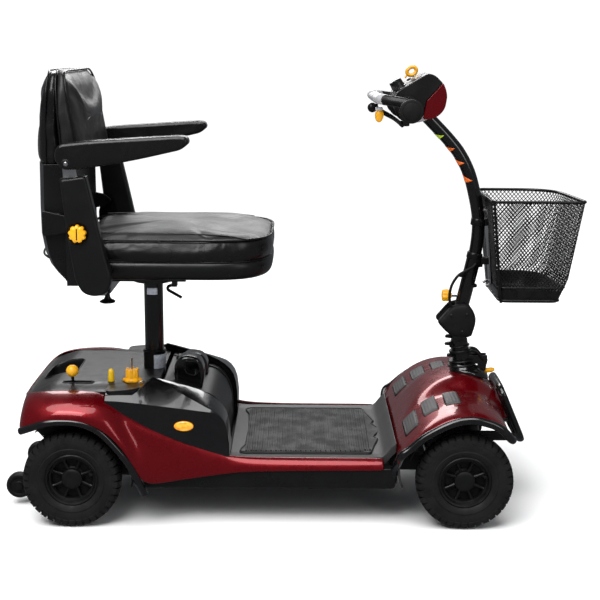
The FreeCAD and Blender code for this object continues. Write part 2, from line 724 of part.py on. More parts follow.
def fender_top(x):
    """Height and slope in degrees of the front fender's top at x."""
    for start, end in zip(FENDER_OUTLINE, FENDER_OUTLINE[1:]):
        if start[0] <= x <= end[0] and end[0] - start[0] > 5:
            run = (end[1] - start[1]) / float(end[0] - start[0])
            return start[1] + run * (x - start[0]), math.degrees(math.atan(run))
    return FENDER_OUTLINE[-1][1], 0.0


def build_grip_patches():
    pieces = []
    length = 100.0
    fore = 24.0
    for x in PATCH_X:
        z, slope = fender_top(x)
        for side in (-1, 1):
            patch = box(-fore / 2.0, fore / 2.0, -length / 2.0, length / 2.0, 0, 2.0)
            patch.rotate(Vector(0, 0, 0), Vector(0, 1, 0), -slope)
            patch.translate(Vector(x, side * 140, z + 0.2))
            pieces.append(patch)
    save("grip_patches", pieces)


def build_lower_trims():
    """Wheel arch lips, the skirts below the sills, and the liners behind the front wheels."""
    pieces = arch_trims()
    for side in (-1, 1):
        skirt = box(-300, 236, SKIRT_Y0, SKIRT_Y1, SKIRT_Z0, SILL_Z0 - 0.5)
        liner = box(226, 231, 128, SILL_Y0 - 2, SKIRT_Z0 + 2, DECK_Z0 - 1)
        toe = box(233, 236.5, 112, SILL_Y0, DECK_Z0, 149)
        for piece in (skirt, liner, toe):
            if side < 0:
                piece = mirrored(piece)
            pieces.append(piece)
    save("lower_trims", pieces)


def build_front_bumper():
    top = BUMPER_TOP
    foot = BUMPER_FOOT
    path = [Vector(foot[0], 0, foot[1]), Vector(foot[0], BUMPER_Y, foot[1]),
            Vector(top[0], BUMPER_Y, top[1]), Vector(top[0], -BUMPER_Y, top[1]),
            Vector(foot[0], -BUMPER_Y, foot[1]), Vector(foot[0], 0, foot[1])]
    hoop = bent_tube(path, BUMPER_R, 30.0)
    tabs = []
    for side in (-1, 1):
        tabs.append(box(506, 534, side * 70 - 9, side * 70 + 9, 152, 166))
    save("front_bumper", [fused([hoop] + tabs)])


def build_tiller_boot():
    base = on_steering(BOOT_S)
    disc = rod(base, base + AXIS * BOOT_DISC_T, BOOT_R)
    cone = Part.makeCone(BOOT_CONE_R0, BOOT_CONE_R1, BOOT_CONE_H, base + AXIS * BOOT_DISC_T, AXIS)
    bore = rod(base - AXIS * BOOT_R, base + AXIS * BOOT_R, COLUMN_R + 2.0)
    whole = disc.fuse(cone).cut(bore).removeSplitter()
    save("tiller_boot", [whole])


def build_reflectors():
    pieces = []
    for side in (-1, 1):
        lens = Part.makeCylinder(11.0, 5.0, Vector(0, 0, 0), Vector(0, 1, 0))
        matrix = FreeCAD.Matrix()
        matrix.scale(2.1, 1.0, 1.05)
        lens = lens.transformGeometry(matrix)
        lens.translate(Vector(REFLECTOR_X, POD_Y1 + 0.2, REFLECTOR_Z))
        if side < 0:
            lens = mirrored(lens)
        pieces.append(lens)
    save("reflectors", pieces)


# ---------------------------------------------------------------- battery
def battery_lid(x):
    """Height just under the skin of the battery case's sloping top at x."""
    drop = (BATTERY_TOP - BATTERY_SHOULDER[1]) / (BATTERY_SHOULDER[0] - BATTERY_X0)
    return BATTERY_TOP - drop * (x - BATTERY_X0) - BATTERY_WALL / 2.0


def build_battery():
    outline = [(BATTERY_X0, BATTERY_Z0), (BATTERY_X0, BATTERY_TOP), BATTERY_SHOULDER,
               (BATTERY_X1, BATTERY_NOSE_Z), (BATTERY_X1, BATTERY_Z0)]
    outer = slab_xz(outline, -BATTERY_Y, BATTERY_Y, 10.0)
    inner = inset_slab_xz(outline, -BATTERY_Y + BATTERY_WALL, BATTERY_Y - BATTERY_WALL, 10.0,
                          BATTERY_WALL)
    case = outer.cut(inner)
    towers = []
    for side in (-1, 1):
        y = side * HANDLE_Y
        tower = slab_xz([(HANDLE_X0, battery_lid(HANDLE_X0)), (HANDLE_X0 + 4, HANDLE_TOP - 8),
                         (HANDLE_X0 + 28, HANDLE_TOP), (HANDLE_X1 - 10, HANDLE_TOP - 14),
                         (HANDLE_X1, battery_lid(HANDLE_X1))], y - HANDLE_HALF_W, y + HANDLE_HALF_W, 16.0)
        tower = tower.cut(box(-300, -190, -200, 200, 250, BATTERY_TOP - 1.0))
        towers.append(tower)
    bar = rod(Vector(HANDLE_BAR_X, -HANDLE_Y, HANDLE_TOP - 16), Vector(HANDLE_BAR_X, HANDLE_Y,
                                                                      HANDLE_TOP - 16), HANDLE_BAR_R)
    shell = fused([case] + towers + [bar])
    cells = []
    width, depth, height = CELL_SIZE
    middle = (BATTERY_X0 + BATTERY_X1) / 2.0 - 12.0
    for side in (-1, 1):
        y0 = side * (CELL_GAP / 2.0 + depth / 2.0) - depth / 2.0
        cells.append(box(middle - width / 2.0, middle + width / 2.0, y0, y0 + depth,
                         BATTERY_Z0 + BATTERY_WALL, BATTERY_Z0 + BATTERY_WALL + height))
    save("battery_pack", [shell] + cells)


# ---------------------------------------------------------------- steering
def build_knuckles():
    for name, side in (("right", -1), ("left", 1)):
        sleeve = rod(on_kingpin(-KNUCKLE_HALF, side), on_kingpin(KNUCKLE_HALF, side), KNUCKLE_R)
        stub_start = Vector(FRONT_AXLE_X, side * KINGPIN_Y, AXLE_Z)
        stub_end = Vector(FRONT_AXLE_X, side * (TYRE_Y + RIM_W / 2.0 - HUB_CAP_T - 4.0), AXLE_Z)
        flange_end = Vector(FRONT_AXLE_X, side * (TYRE_Y - RIM_W / 2.0 + 3.0), AXLE_Z)
        stub = rod(stub_start, stub_end, STUB_R)
        flange = rod(stub_start, flange_end, STUB_R + 3.0)
        arm = box(-ARM_LEN - 9, 0, -ARM_HALF_W, ARM_HALF_W, -ARM_T / 2.0, ARM_T / 2.0)
        arm.rotate(Vector(0, 0, 0), Vector(0, 1, 0), -math.degrees(PIVOT_LEAN))
        arm.translate(on_kingpin(ARM_LEVEL, side))
        whole = fused([sleeve, stub, flange, arm])
        whole = whole.cut(rod(on_kingpin(-40, side), on_kingpin(40, side), KINGPIN_R + RUN))
        pivot = on_kingpin(ARM_LEVEL, side) - FORE * ARM_LEN
        whole = whole.cut(rod(pivot - AXIS * 10, pivot + AXIS * 10, TIE_HOLE_R))
        save("steering_knuckle_" + name, [whole])


def build_tie_rod():
    ends = []
    pieces = []
    for side in (-1, 1):
        end = on_kingpin(TIE_LEVEL, side) - FORE * ARM_LEN
        ends.append(end)
        pieces.append(rod(end, end + AXIS * (ARM_LEVEL - TIE_LEVEL + ARM_T / 2.0 + 1.5), TIE_PIN_R))
        pieces.append(rod(end - AXIS * 5.0, end + AXIS * 5.0, 8.0))
    pieces.append(rod(ends[0], ends[1], TIE_R))
    hub = on_steering(TIE_LEVEL) - FORE * ARM_LEN
    middle = (ends[0] + ends[1]) * 0.5
    pieces.append(rod(middle, hub, 5.0))
    boss = rod(hub - AXIS * 5.0, hub + AXIS * 5.0, 10.0)
    whole = fused(pieces + [boss])
    whole = whole.cut(rod(hub - AXIS * 20, hub + AXIS * 20, TIE_PIN_R + RUN))
    save("tie_rod", [whole])


def build_steering_column():
    shaft = rod(on_steering(SHAFT_S0 + 12.0), on_steering(SHAFT_S1), SHAFT_R)
    column = rod(on_steering(SHAFT_S1), on_steering(COLUMN_S1), COLUMN_R)
    arm_level = TIE_LEVEL + 12.0
    arm = box(-ARM_LEN - 10, 0, -9, 9, -3, 3)
    arm.rotate(Vector(0, 0, 0), Vector(0, 1, 0), -math.degrees(PIVOT_LEAN))
    arm.translate(on_steering(arm_level))
    hub = on_steering(TIE_LEVEL) - FORE * ARM_LEN
    pin = rod(hub - AXIS * 6.0, on_steering(arm_level) - FORE * ARM_LEN, TIE_PIN_R)
    pivot = on_steering(TILT_S)
    fork = []
    for side in (-1, 1):
        cheek = box(-16, 16, min(side * FORK_Y0, side * FORK_Y1), max(side * FORK_Y0, side * FORK_Y1),
                    COLUMN_S1 - 4 - TILT_S, 14)
        cheek.rotate(Vector(0, 0, 0), Vector(0, 1, 0), -math.degrees(PIVOT_LEAN))
        cheek.translate(pivot)
        fork.append(cheek)
    tilt_pin = rod(Vector(pivot.x, -FORK_Y1, pivot.z), Vector(pivot.x, FORK_Y1, pivot.z), TILT_PIN_R)
    lug = box(410, LATCH_PIVOT.x + 6, -14, -8, LATCH_PIVOT.z - 8, LATCH_PIVOT.z + 12)
    latch_pin = rod(Vector(LATCH_PIVOT.x, -14, LATCH_PIVOT.z), Vector(LATCH_PIVOT.x, 14, LATCH_PIVOT.z),
                    LATCH_PIN_R)
    steel = fused([shaft, column, arm, pin, lug, mirrored(lug), latch_pin, tilt_pin] + fork)
    cover = slab_xz(COVER_OUTLINE, COVER_Y0, COVER_Y1, 9.0)
    boss = rod(Vector(pivot.x, FORK_Y1, pivot.z), Vector(pivot.x, COVER_Y0, pivot.z), 9.0)
    cover = cover.fuse(boss)
    save("steering_column", [steel, mirrored(cover), cover])


def build_tiller_latch():
    p = LATCH_PIVOT
    eye = rod(Vector(p.x, -7, p.z), Vector(p.x, 7, p.z), 9.0)
    drop = box(p.x - 5, p.x + 6, -7, 7, p.z - 34, p.z)
    finger = slab_xz([(p.x - 4, p.z - 34), (p.x - 4, p.z - 24), (p.x + 24, p.z - 20),
                      (p.x + 26, p.z - 29)], -6, 6, 3.0)
    whole = fused([eye, drop, finger])
    whole = whole.cut(rod(Vector(p.x, -8, p.z), Vector(p.x, 8, p.z), LATCH_PIN_R + RUN))
    save("tiller_latch", [whole])


# ---------------------------------------------------------------- tiller
def build_tiller():
    pivot = on_steering(TILT_S)
    eye = rod(Vector(pivot.x, -TONGUE_HALF, pivot.z), Vector(pivot.x, TONGUE_HALF, pivot.z), TONGUE_R)
    tongue = rod(pivot, SLEEVE_FOOT + (SLEEVE_TOP - SLEEVE_FOOT) * 0.12, 9.0)
    sleeve = rod(SLEEVE_FOOT + (SLEEVE_TOP - SLEEVE_FOOT) * 0.1, SLEEVE_TOP, SLEEVE_R)
    stem = bent_tube([SLEEVE_FOOT + (SLEEVE_TOP - SLEEVE_FOOT) * 0.7]
                     + [Vector(x, 0, z) for x, z in TILLER_PATH], STEM_R, 160.0)
    collar = rod(SLEEVE_TOP - Vector(2, 0, 9), SLEEVE_TOP, SLEEVE_R + 1.5)
    whole = fused([eye, tongue, sleeve, stem, collar])
    whole = whole.cut(rod(Vector(pivot.x, -20, pivot.z), Vector(pivot.x, 20, pivot.z), TILT_PIN_R + RUN))
    foot = KNOB_CENTRE + Vector(KNOB_T / 2.0, 0, 0)
    whole = whole.cut(rod(foot, foot + Vector(30, 0, 0), 4.0 + RUN))
    save("tiller_tube", [whole])
    head = rod(KNOB_CENTRE - Vector(KNOB_T / 2.0, 0, 0), foot, KNOB_R)
    stud = rod(foot, foot + Vector(24, 0, 0), 4.0)
    save("tilt_knob", [fused([head, stud])])


def panel_point(x):
    """Height of the console's sloping top face at x."""
    return PANEL_Z + (x - PANEL_X) * PANEL_RISE


def build_console():
    console = slab_xz(CONSOLE_OUTLINE, -CONSOLE_Y, CONSOLE_Y, 7.0)
    inner = inset_slab_xz(CONSOLE_OUTLINE, -CONSOLE_Y + WALL, CONSOLE_Y - WALL, 7.0, WALL)
    console = console.cut(inner)
    tilt = Vector(-math.sin(PANEL_LEAN), 0, math.cos(PANEL_LEAN))
    stem = bent_tube([Vector(x, 0, z) for x, z in TILLER_PATH], STEM_R + 0.3, 160.0)
    console = console.cut(stem)
    dial = Vector(DIAL_X, DIAL_Y, panel_point(DIAL_X))
    key = Vector(KEY_X, KEY_Y, panel_point(KEY_X))
    console = console.cut(rod(dial - tilt * 20, dial + tilt * 20, 3.0 + RUN))
    console = console.cut(rod(key - tilt * 20, key + tilt * 20, 4.0 + RUN))
    console = console.cut(rod(THROTTLE_PIVOT, THROTTLE_PIVOT + Vector(0, 0, 34), THROTTLE_PIN_R + RUN))
    save("console_shell", [console])
    nose = slab_xz(NOSE_OUTLINE, -NOSE_Y, NOSE_Y, 7.0).cut(stem)
    save("console_nose", [nose])
    head = rod(dial + tilt * 3.0, dial + tilt * (3.0 + DIAL_H), DIAL_R)
    save("speed_dial", [fused([head, rod(dial - tilt * 3.0, dial + tilt * 3.0, 3.0)])])
    barrel = rod(key - tilt * 3.0, key + tilt * 12.0, 4.0)
    bow = rod(key + tilt * 26.0 - Vector(0, 2.5, 0), key + tilt * 26.0 + Vector(0, 2.5, 0), 15.0)
    bow = bow.cut(rod(key + tilt * 27.0 - Vector(0, 4, 0), key + tilt * 27.0 + Vector(0, 4, 0), 5.0))
    save("ignition_key", [fused([barrel, bow])])


def build_handles():
    pieces = []
    for side in (-1, 1):
        grip = rod(Vector(GRIP_X, side * GRIP_Y0, GRIP_Z), Vector(GRIP_X, side * GRIP_Y1, GRIP_Z), GRIP_R)
        end = rod(Vector(GRIP_X, side * (GRIP_Y1 - 14), GRIP_Z), Vector(GRIP_X, side * GRIP_Y1, GRIP_Z),
                  GRIP_END_R)
        pieces.append(grip.fuse(end).removeSplitter())
    path = []
    for x, y in LOOP_PATH:
        tail = (x - LOOP_PATH[2][0]) / 64.0
        path.append(Vector(x, y, LOOP_Z + (LOOP_TAIL_Z - LOOP_Z) * tail))
    loop = bent_tube(path, LOOP_R, 30.0)
    for grip in pieces:
        loop = loop.cut(grip)
    save("handlebar", pieces + [sorted(loop.Solids, key=lambda solid: solid.Volume)[-1]])


def build_wiring_loop():
    """Cable that leaves the tiller sleeve, bows out behind it and goes back in below."""
    points = [Vector(x, y, z) for x, y, z in CABLE_PATH]
    save("wiring_loop", [bent_tube(points, CABLE_R, 12.0)])


def build_throttle():
    hub = rod(THROTTLE_PIVOT - Vector(0, 0, 6), THROTTLE_PIVOT + Vector(0, 0, 6), 12.0)
    shaft = rod(THROTTLE_PIVOT, THROTTLE_PIVOT + Vector(0, 0, 32), THROTTLE_PIN_R)
    pieces = [hub, shaft]
    for side in (-1, 1):
        elbow = Vector(THROTTLE_ELBOW.x, side * THROTTLE_ELBOW.y, THROTTLE_ELBOW.z)
        tip = Vector(THROTTLE_TIP.x, side * THROTTLE_TIP.y, THROTTLE_TIP.z)
        pieces.append(rod(THROTTLE_PIVOT, elbow, 5.0))
        pieces.append(Part.makeSphere(5.5, elbow))
        pieces.append(rod(elbow, tip, 5.0))
        pieces.append(Part.makeSphere(PADDLE_R, tip))
    save("throttle_lever", [fused(pieces)])


def build_basket():
    def frustum(grow, floor):
        loops = []
        for x0, x1, y, z in (BASKET_FLOOR, BASKET_RIM):
            height = floor if z == BASKET_FLOOR[3] else z
            points = [(x0 - grow, -y - grow), (x1 + grow, -y - grow), (x1 + grow, y + grow),
                      (x0 - grow, y + grow)]
            face = rounded_face([Vector(px, py, height) for px, py in points], 26.0)
            loops.append(face.OuterWire)
        return Part.makeLoft(loops, True, True)
    outer = frustum(0.0, BASKET_FLOOR[3])
    inner = frustum(-BASKET_T, BASKET_FLOOR[3] + BASKET_T)
    inner.translate(Vector(0, 0, 0.01))
    save("basket", [outer.cut(inner)])


def build_basket_bracket():
    foot_x, foot_z = BRACKET_FOOT
    top_x, top_z = BRACKET_TOP
    outline = [(foot_x, foot_z), (foot_x + BRACKET_T, foot_z), (top_x + BRACKET_T, top_z),
               (top_x, top_z)]
    plate = slab_xz(outline, -BRACKET_Y, BRACKET_Y, 0.5)
    clamps = []
    for z, x, reach in ((600.0, 428.5, 450.0), (668.0, 428.5, 446.0)):
        clamps.append(box(x - 22, reach, -20, 20, z - 12, z + 12))
    whole = fused([plate] + clamps)
    stem = bent_tube([SLEEVE_TOP - Vector(9, 0, 38)] + [Vector(x, 0, z) for x, z in TILLER_PATH],
                     STEM_R, 160.0)
    whole = whole.cut(stem)
    save("basket_bracket", [whole])


# ---------------------------------------------------------------- rear controls
def build_rear_controls():
    p = FREEWHEEL_PIVOT
    ball_at = Vector(p.x - 2, p.y, FREEWHEEL_BALL_Z)
    stem = rod(Vector(p.x, p.y, p.z), ball_at, 3.5)
    ball = Part.makeSphere(14.0, ball_at)
    eye = rod(Vector(p.x, p.y - 5, p.z), Vector(p.x, p.y + 5, p.z), 10.0)
    bore = rod(Vector(p.x, p.y - 6, p.z), Vector(p.x, p.y + 6, p.z), 4.0 + RUN)
    save("freewheel_lever", [fused([stem, ball, eye]).cut(bore)])
    x, y = BUTTON_POS
    cap = rod(Vector(x, y, REAR_DECK_Z + 3.5), Vector(x, y, REAR_DECK_Z + 24), 7.0)
    dome = Part.makeSphere(7.0, Vector(x, y, REAR_DECK_Z + 24))
    plunger = rod(Vector(x, y, REAR_DECK_Z - 10), Vector(x, y, REAR_DECK_Z + 4), 5.0)
    save("reset_button", [fused([cap, dome, plunger])])
    x, y = LOCK_KNOB_POS
    body = rod(Vector(x, y, REAR_DECK_Z + 3), Vector(x, y, REAR_DECK_Z + 28), 15.0)
    lobes = []
    for i in range(5):
        angle = math.radians(72.0 * i)
        centre = Vector(x + 15 * math.cos(angle), y + 15 * math.sin(angle), REAR_DECK_Z + 3)
        lobes.append(rod(centre, centre + Vector(0, 0, 25), 6.0))
    stud = rod(Vector(x, y, REAR_DECK_Z - 8), Vector(x, y, REAR_DECK_Z + 58), 2.0)
    neck = rod(Vector(x, y, REAR_DECK_Z - 8), Vector(x, y, REAR_DECK_Z + 4), 5.0)
    save("section_lock_knob", [fused([body, stud, neck] + lobes)])


# ---------------------------------------------------------------- seat
def build_seat_post():
    post = rod(Vector(POST_X, 0, POST_Z0), Vector(POST_X, 0, POST_TOP), POST_R)
    post = post.cut(rod(Vector(POST_X, 0, POST_Z0 - 1), Vector(POST_X, 0, POST_TOP - 12), POST_R - 3))
    flange = rod(Vector(POST_X, 0, POST_TOP - POST_FLANGE_T), Vector(POST_X, 0, POST_TOP), POST_FLANGE_R)
    save("seat_post", [fused([post, flange])])


def seat_outline(inset):
    """Seat seen from above, with the front corners cut back before they are rounded."""
    x0 = SEAT_X0 + inset
    x1 = SEAT_X1 - inset
    half = SEAT_Y - inset
    back = SEAT_FRONT_CUT - CUT_PER_INSET * inset
    return [(x0, -half), (x1 - back, -half), (x1, -half + back), (x1, half - back),
            (x1 - back, half), (x0, half)]


def build_seat():
    plate = box(SWIVEL_X0, SWIVEL_X1, -SWIVEL_Y, SWIVEL_Y, SWIVEL_Z0, SHELL_Z0)
    outer_pieces = [plate]
    half = RECEIVER_HALF
    cross = box(RECEIVER_X - half, RECEIVER_X + half, -188, 188, SLIDE_Z - half, SHELL_Z0)
    outer_pieces.append(cross)
    for side in (-1, 1):
        upright = slab_xz([(-478, 545), (-478, 640), (-466, 682), (-444, 682), (-432, 640), (-432, 545)],
                          UPRIGHT_Y0, UPRIGHT_Y1, 10.0)
        foot = box(-478, RECEIVER_X, 150, UPRIGHT_Y0 + 1, SHELL_Z0 - 4, SHELL_Z0)
        web = box(-478, -432, UPRIGHT_Y0, UPRIGHT_Y1, SHELL_Z0 - 4, SHELL_Z0 + 10)
        pin = rod(Vector(HINGE_X, 204, HINGE_Z), Vector(HINGE_X, UPRIGHT_Y0 + 1, HINGE_Z), HINGE_PIN_R)
        for piece in (upright, foot, web, pin):
            if side < 0:
                piece = mirrored(piece)
            outer_pieces.append(piece)
    lever = SWIVEL_LEVER
    for y in (lever.y - 9.5, lever.y + 6.5):
        outer_pieces.append(box(lever.x - 6, lever.x + 6, y, y + 3, lever.z - 5, SWIVEL_Z0 + 1))
    outer_pieces.append(rod(lever - Vector(0, 8, 0), lever + Vector(0, 8, 0), 2.5))
    frame = fused(outer_pieces)
    hole = SLIDE_HALF + GAP
    frame = frame.cut(box(RECEIVER_X - hole, RECEIVER_X + hole, -250, 250, SLIDE_Z - hole, SLIDE_Z + hole))
    for side in (-1, 1):
        knob_y = side * 150.0
        frame = frame.cut(rod(Vector(RECEIVER_X, knob_y, 500), Vector(RECEIVER_X, knob_y, SLIDE_Z - 1),
                              4.0 + RUN))
    save("seat_frame", [frame])
    shell = slab_xy(seat_outline(0), SHELL_Z0, SHELL_Z1, SEAT_CORNER_R)
    inner = slab_xy(seat_outline(WALL), SHELL_Z0 + WALL, SHELL_Z1 + 1, SEAT_CORNER_R - WALL)
    shell = shell.cut(inner)
    save("seat_shell", [shell])
    pad = slab_xy(seat_outline(2), SHELL_Z1, CUSHION_TOP, SEAT_CORNER_R)
    insert = slab_xy(seat_outline(WALL + 1), SHELL_Z0 + WALL + 1, SHELL_Z1, SEAT_CORNER_R - WALL)
    save("seat_cushion", [fused([pad, insert])])


def build_swivel_lever():
    p = SWIVEL_LEVER
    bar = bent_tube([p, p + Vector(-24, 0, -9), p + Vector(16, 0, -32)], 3.5, 8.0)
    eye = rod(p - Vector(0, 6, 0), p + Vector(0, 6, 0), 6.0)
    whole = fused([bar, eye]).cut(rod(p - Vector(0, 7, 0), p + Vector(0, 7, 0), 2.5 + RUN))
    save("swivel_lever", [whole])


def lean_point(z):
    """X of the armrest upright's centre line at height z."""
    return -451.0 + (772.0 - z) * math.tan(ARM_LEAN)


def leaning_bar(z0, z1, half_x, y0, y1, side):
    bar = slab_xz([(lean_point(z0) - half_x, z0), (lean_point(z0) + half_x, z0),
                   (lean_point(z1) + half_x, z1), (lean_point(z1) - half_x, z1)], y0, y1, 1.0)
    if side < 0:
        bar = mirrored(bar)
    return bar


def build_arms():
    for name, side in (("right", -1), ("left", 1)):
        sleeve = slab_xz(SLEEVE_OUTLINE, ARM_Y0, ARM_Y1, 24.0)
        boss = box(RECEIVER_X - 14, RECEIVER_X + 14, 224, ARM_Y0 + 4, SLIDE_Z - 9, SLIDE_Z + 20)
        slide = box(RECEIVER_X - SLIDE_HALF, RECEIVER_X + SLIDE_HALF, 90, ARM_Y0 + 2,
                    SLIDE_Z - SLIDE_HALF, SLIDE_Z + SLIDE_HALF)
        if side < 0:
            sleeve = mirrored(sleeve)
            boss = mirrored(boss)
            slide = mirrored(slide)
        whole = fused([sleeve, boss, slide])
        bore = leaning_bar(610, 790, POST_BAR_HALF + GAP, ARM_MID_Y - POST_BAR_HALF_Y - GAP,
                           ARM_MID_Y + POST_BAR_HALF_Y + GAP, side)
        whole = whole.cut(bore)
        knob_in = Vector(ARM_KNOB_X, side * (ARM_Y1 - 5.0), ARM_KNOB_Z)
        knob_face = Vector(ARM_KNOB_X, side * (ARM_Y1 - 3.0), ARM_KNOB_Z)
        out = Vector(0, side, 0)
        whole = whole.cut(rod(knob_face, knob_face + out * 30, ARM_KNOB_R + 3.0))
        whole = whole.cut(rod(knob_in, knob_in + out * 10, 4.0 + RUN))
        save("arm_bracket_" + name, [whole])
        face = knob_face + out * GAP
        knob = rod(face, Vector(ARM_KNOB_X, side * ARM_KNOB_Y1, ARM_KNOB_Z), ARM_KNOB_R)
        stud = rod(knob_in + out * GAP, face, 4.0)
        save("arm_knob_" + name, [fused([knob, stud])])

        bar = leaning_bar(630, 774, POST_BAR_HALF, ARM_MID_Y - POST_BAR_HALF_Y,
                          ARM_MID_Y + POST_BAR_HALF_Y, side)
        tongue = slab_xz([(-472, 768), (-474, 808), (-463, 815), (-452, 808), (-444, 768)],
                         ARM_MID_Y - TONGUE_HALF_Y, ARM_MID_Y + TONGUE_HALF_Y, 6.0)
        pin = rod(Vector(ARM_PIVOT.x, 226, ARM_PIVOT.z), Vector(ARM_PIVOT.x, 266, ARM_PIVOT.z), ARM_PIN_R)
        if side < 0:
            tongue = mirrored(tongue)
            pin = mirrored(pin)
        save("arm_post_" + name, [fused([bar, tongue, pin])])

        rest = slab_xz(ARMREST_OUTLINE, ARM_MID_Y - ARMREST_HALF_W, ARM_MID_Y + ARMREST_HALF_W, 10.0)
        slot = box(-520, ARM_PIVOT.x + 16, ARM_MID_Y - TONGUE_HALF_Y - GAP, ARM_MID_Y + TONGUE_HALF_Y + GAP,
                   770, ARM_PIVOT.z + 16)
        if side < 0:
            rest = mirrored(rest)
            slot = mirrored(slot)
        rest = rest.cut(slot)
        rest = rest.cut(rod(Vector(ARM_PIVOT.x, side * 200, ARM_PIVOT.z),
                            Vector(ARM_PIVOT.x, side * 300, ARM_PIVOT.z), ARM_PIN_R + RUN))
        save("armrest_" + name, [rest])

        knob_y = side * 150.0
        disc = rod(Vector(RECEIVER_X, knob_y, 486), Vector(RECEIVER_X, knob_y, 494), 18.0)
        stalk = rod(Vector(RECEIVER_X, knob_y, 493), Vector(RECEIVER_X, knob_y, SLIDE_Z - SLIDE_HALF - 1),
                    4.0)
        save("width_knob_" + name, [fused([disc, stalk])])


# ---------------------------------------------------------------- backrest
def build_back():
    bowed = slab_xy(BACK_PLAN, BACK_Z0, BACK_Z1, BACK_PLAN_R)
    bowed_inside = face_xy(BACK_PLAN, BACK_Z0, BACK_PLAN_R).makeOffset2D(-WALL)
    bowed_inside = bowed_inside.extrude(Vector(0, 0, BACK_Z1 - BACK_Z0))
    shell = slab_xz(BACK_SHELL_OUTLINE, -BACK_Y, BACK_Y, BACK_SHELL_R).common(bowed)
    hollow = inset_slab_xz(BACK_SHELL_OUTLINE, -BACK_Y, BACK_Y, BACK_SHELL_R, WALL).common(bowed_inside)
    shell = shell.cut(hollow)
    ears = []
    for side in (-1, 1):
        ear = slab_xz([(EAR_ROOT_X, 640), (EAR_ROOT_X, 700), (HINGE_X - 4, HINGE_Z + 14),
                       (HINGE_X + 12, HINGE_Z), (HINGE_X - 4, HINGE_Z - 14)],
                      BACK_Y - 1, UPRIGHT_Y0 - 2.0, 9.0)
        hole = rod(Vector(HINGE_X, 150, HINGE_Z), Vector(HINGE_X, 260, HINGE_Z), HINGE_PIN_R + RUN)
        inner = box(EAR_CLEAR_X, HINGE_X + 30, BACK_Y - 2, 203.5, 600, 740)
        ear = ear.cut(hole).cut(inner)
        if side < 0:
            ear = mirrored(ear)
        ears.append(ear)
    save("back_shell", [fused([shell] + ears)])
    pad = slab_xz(BACK_PAD_OUTLINE, -BACK_Y, BACK_Y, BACK_PAD_R).common(bowed)
    save("back_cushion", [pad])


build_wheels()
build_main_frame()
build_transaxle()
build_floor()
build_rear_shroud()
build_rear_deck()
build_battery_housing()
build_front_shroud()
build_grip_patches()
build_lower_trims()
build_front_bumper()
build_tiller_boot()
build_reflectors()
build_battery()
build_knuckles()
build_tie_rod()
build_steering_column()
build_tiller_latch()
build_tiller()
build_console()
build_handles()
build_wiring_loop()
build_throttle()
build_basket()
build_basket_bracket()
build_rear_controls()
build_seat_post()
build_seat()
build_swivel_lever()
build_arms()
build_back()
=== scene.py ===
import math

import bmesh
import bpy
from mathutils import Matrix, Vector, noise


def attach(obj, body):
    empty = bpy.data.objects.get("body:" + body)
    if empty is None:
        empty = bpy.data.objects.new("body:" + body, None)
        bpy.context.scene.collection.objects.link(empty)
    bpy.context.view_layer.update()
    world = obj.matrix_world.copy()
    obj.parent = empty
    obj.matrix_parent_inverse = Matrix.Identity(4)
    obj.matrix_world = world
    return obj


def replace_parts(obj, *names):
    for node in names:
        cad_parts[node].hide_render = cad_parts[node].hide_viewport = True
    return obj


# Looks for a four-wheel mobility scooter. Shapes are written in millimetres and put in place in metres.

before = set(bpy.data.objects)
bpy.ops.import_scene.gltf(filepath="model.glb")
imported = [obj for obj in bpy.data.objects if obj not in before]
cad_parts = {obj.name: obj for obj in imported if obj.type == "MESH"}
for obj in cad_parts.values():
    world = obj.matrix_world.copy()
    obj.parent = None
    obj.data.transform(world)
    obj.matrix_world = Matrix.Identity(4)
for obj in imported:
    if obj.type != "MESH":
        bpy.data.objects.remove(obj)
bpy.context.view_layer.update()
MM = 0.001
SIDES = (("right", -1), ("left", 1))


# ---------------------------------------------------------------- curves and outlines
def spline(points, steps=8, closed=False):
    """Smooth line through the points."""
    points = [Vector(p) for p in points]
    count = len(points)
    line = []
    for i in range(count if closed else count - 1):
        if closed:
            a, b, c, d = (points[(i + k - 1) % count] for k in range(4))
        else:
            b, c = points[i], points[i + 1]
            a = points[i - 1] if i > 0 else b + (b - c)
            d = points[i + 2] if i + 2 < count else c + (c - b)
        for k in range(steps):
            t = k / steps
            line.append(0.5 * (2 * b + (c - a) * t + (2 * a - 5 * b + 4 * c - d) * t ** 2
                               + (3 * b - a - 3 * c + d) * t ** 3))
    if not closed:
        line.append(points[-1])
    return line


def at(points, t):
    """Point at fraction t of a smooth line through the points, by index."""
    last = len(points) - 1
    place = min(max(t, 0.0), 1.0) * last
    i = min(int(place), last - 1)
    f = place - i
    b, c = Vector(points[i]), Vector(points[i + 1])
    a = Vector(points[i - 1]) if i > 0 else b + (b - c)
    d = Vector(points[i + 2]) if i + 2 <= last else c + (c - b)
    return 0.5 * (2 * b + (c - a) * f + (2 * a - 5 * b + 4 * c - d) * f ** 2
                  + (3 * b - a - 3 * c + d) * f ** 3)


def there_and_back(half):
    """Outline from its first half, mirrored in the second coordinate."""
    return half + [(a, -b) for a, b in reversed(half)]


def shut(profile):
    """Profile that ends where it starts."""
    return profile + [profile[0]]


def around(count):
    """Equally spaced angles of a full turn."""
    return [2 * math.pi * k / count for k in range(count)]


def smooth(t):
    """Eases from 0 to 1."""
    t = min(max(t, 0.0), 1.0)
    return t * t * (3 - 2 * t)


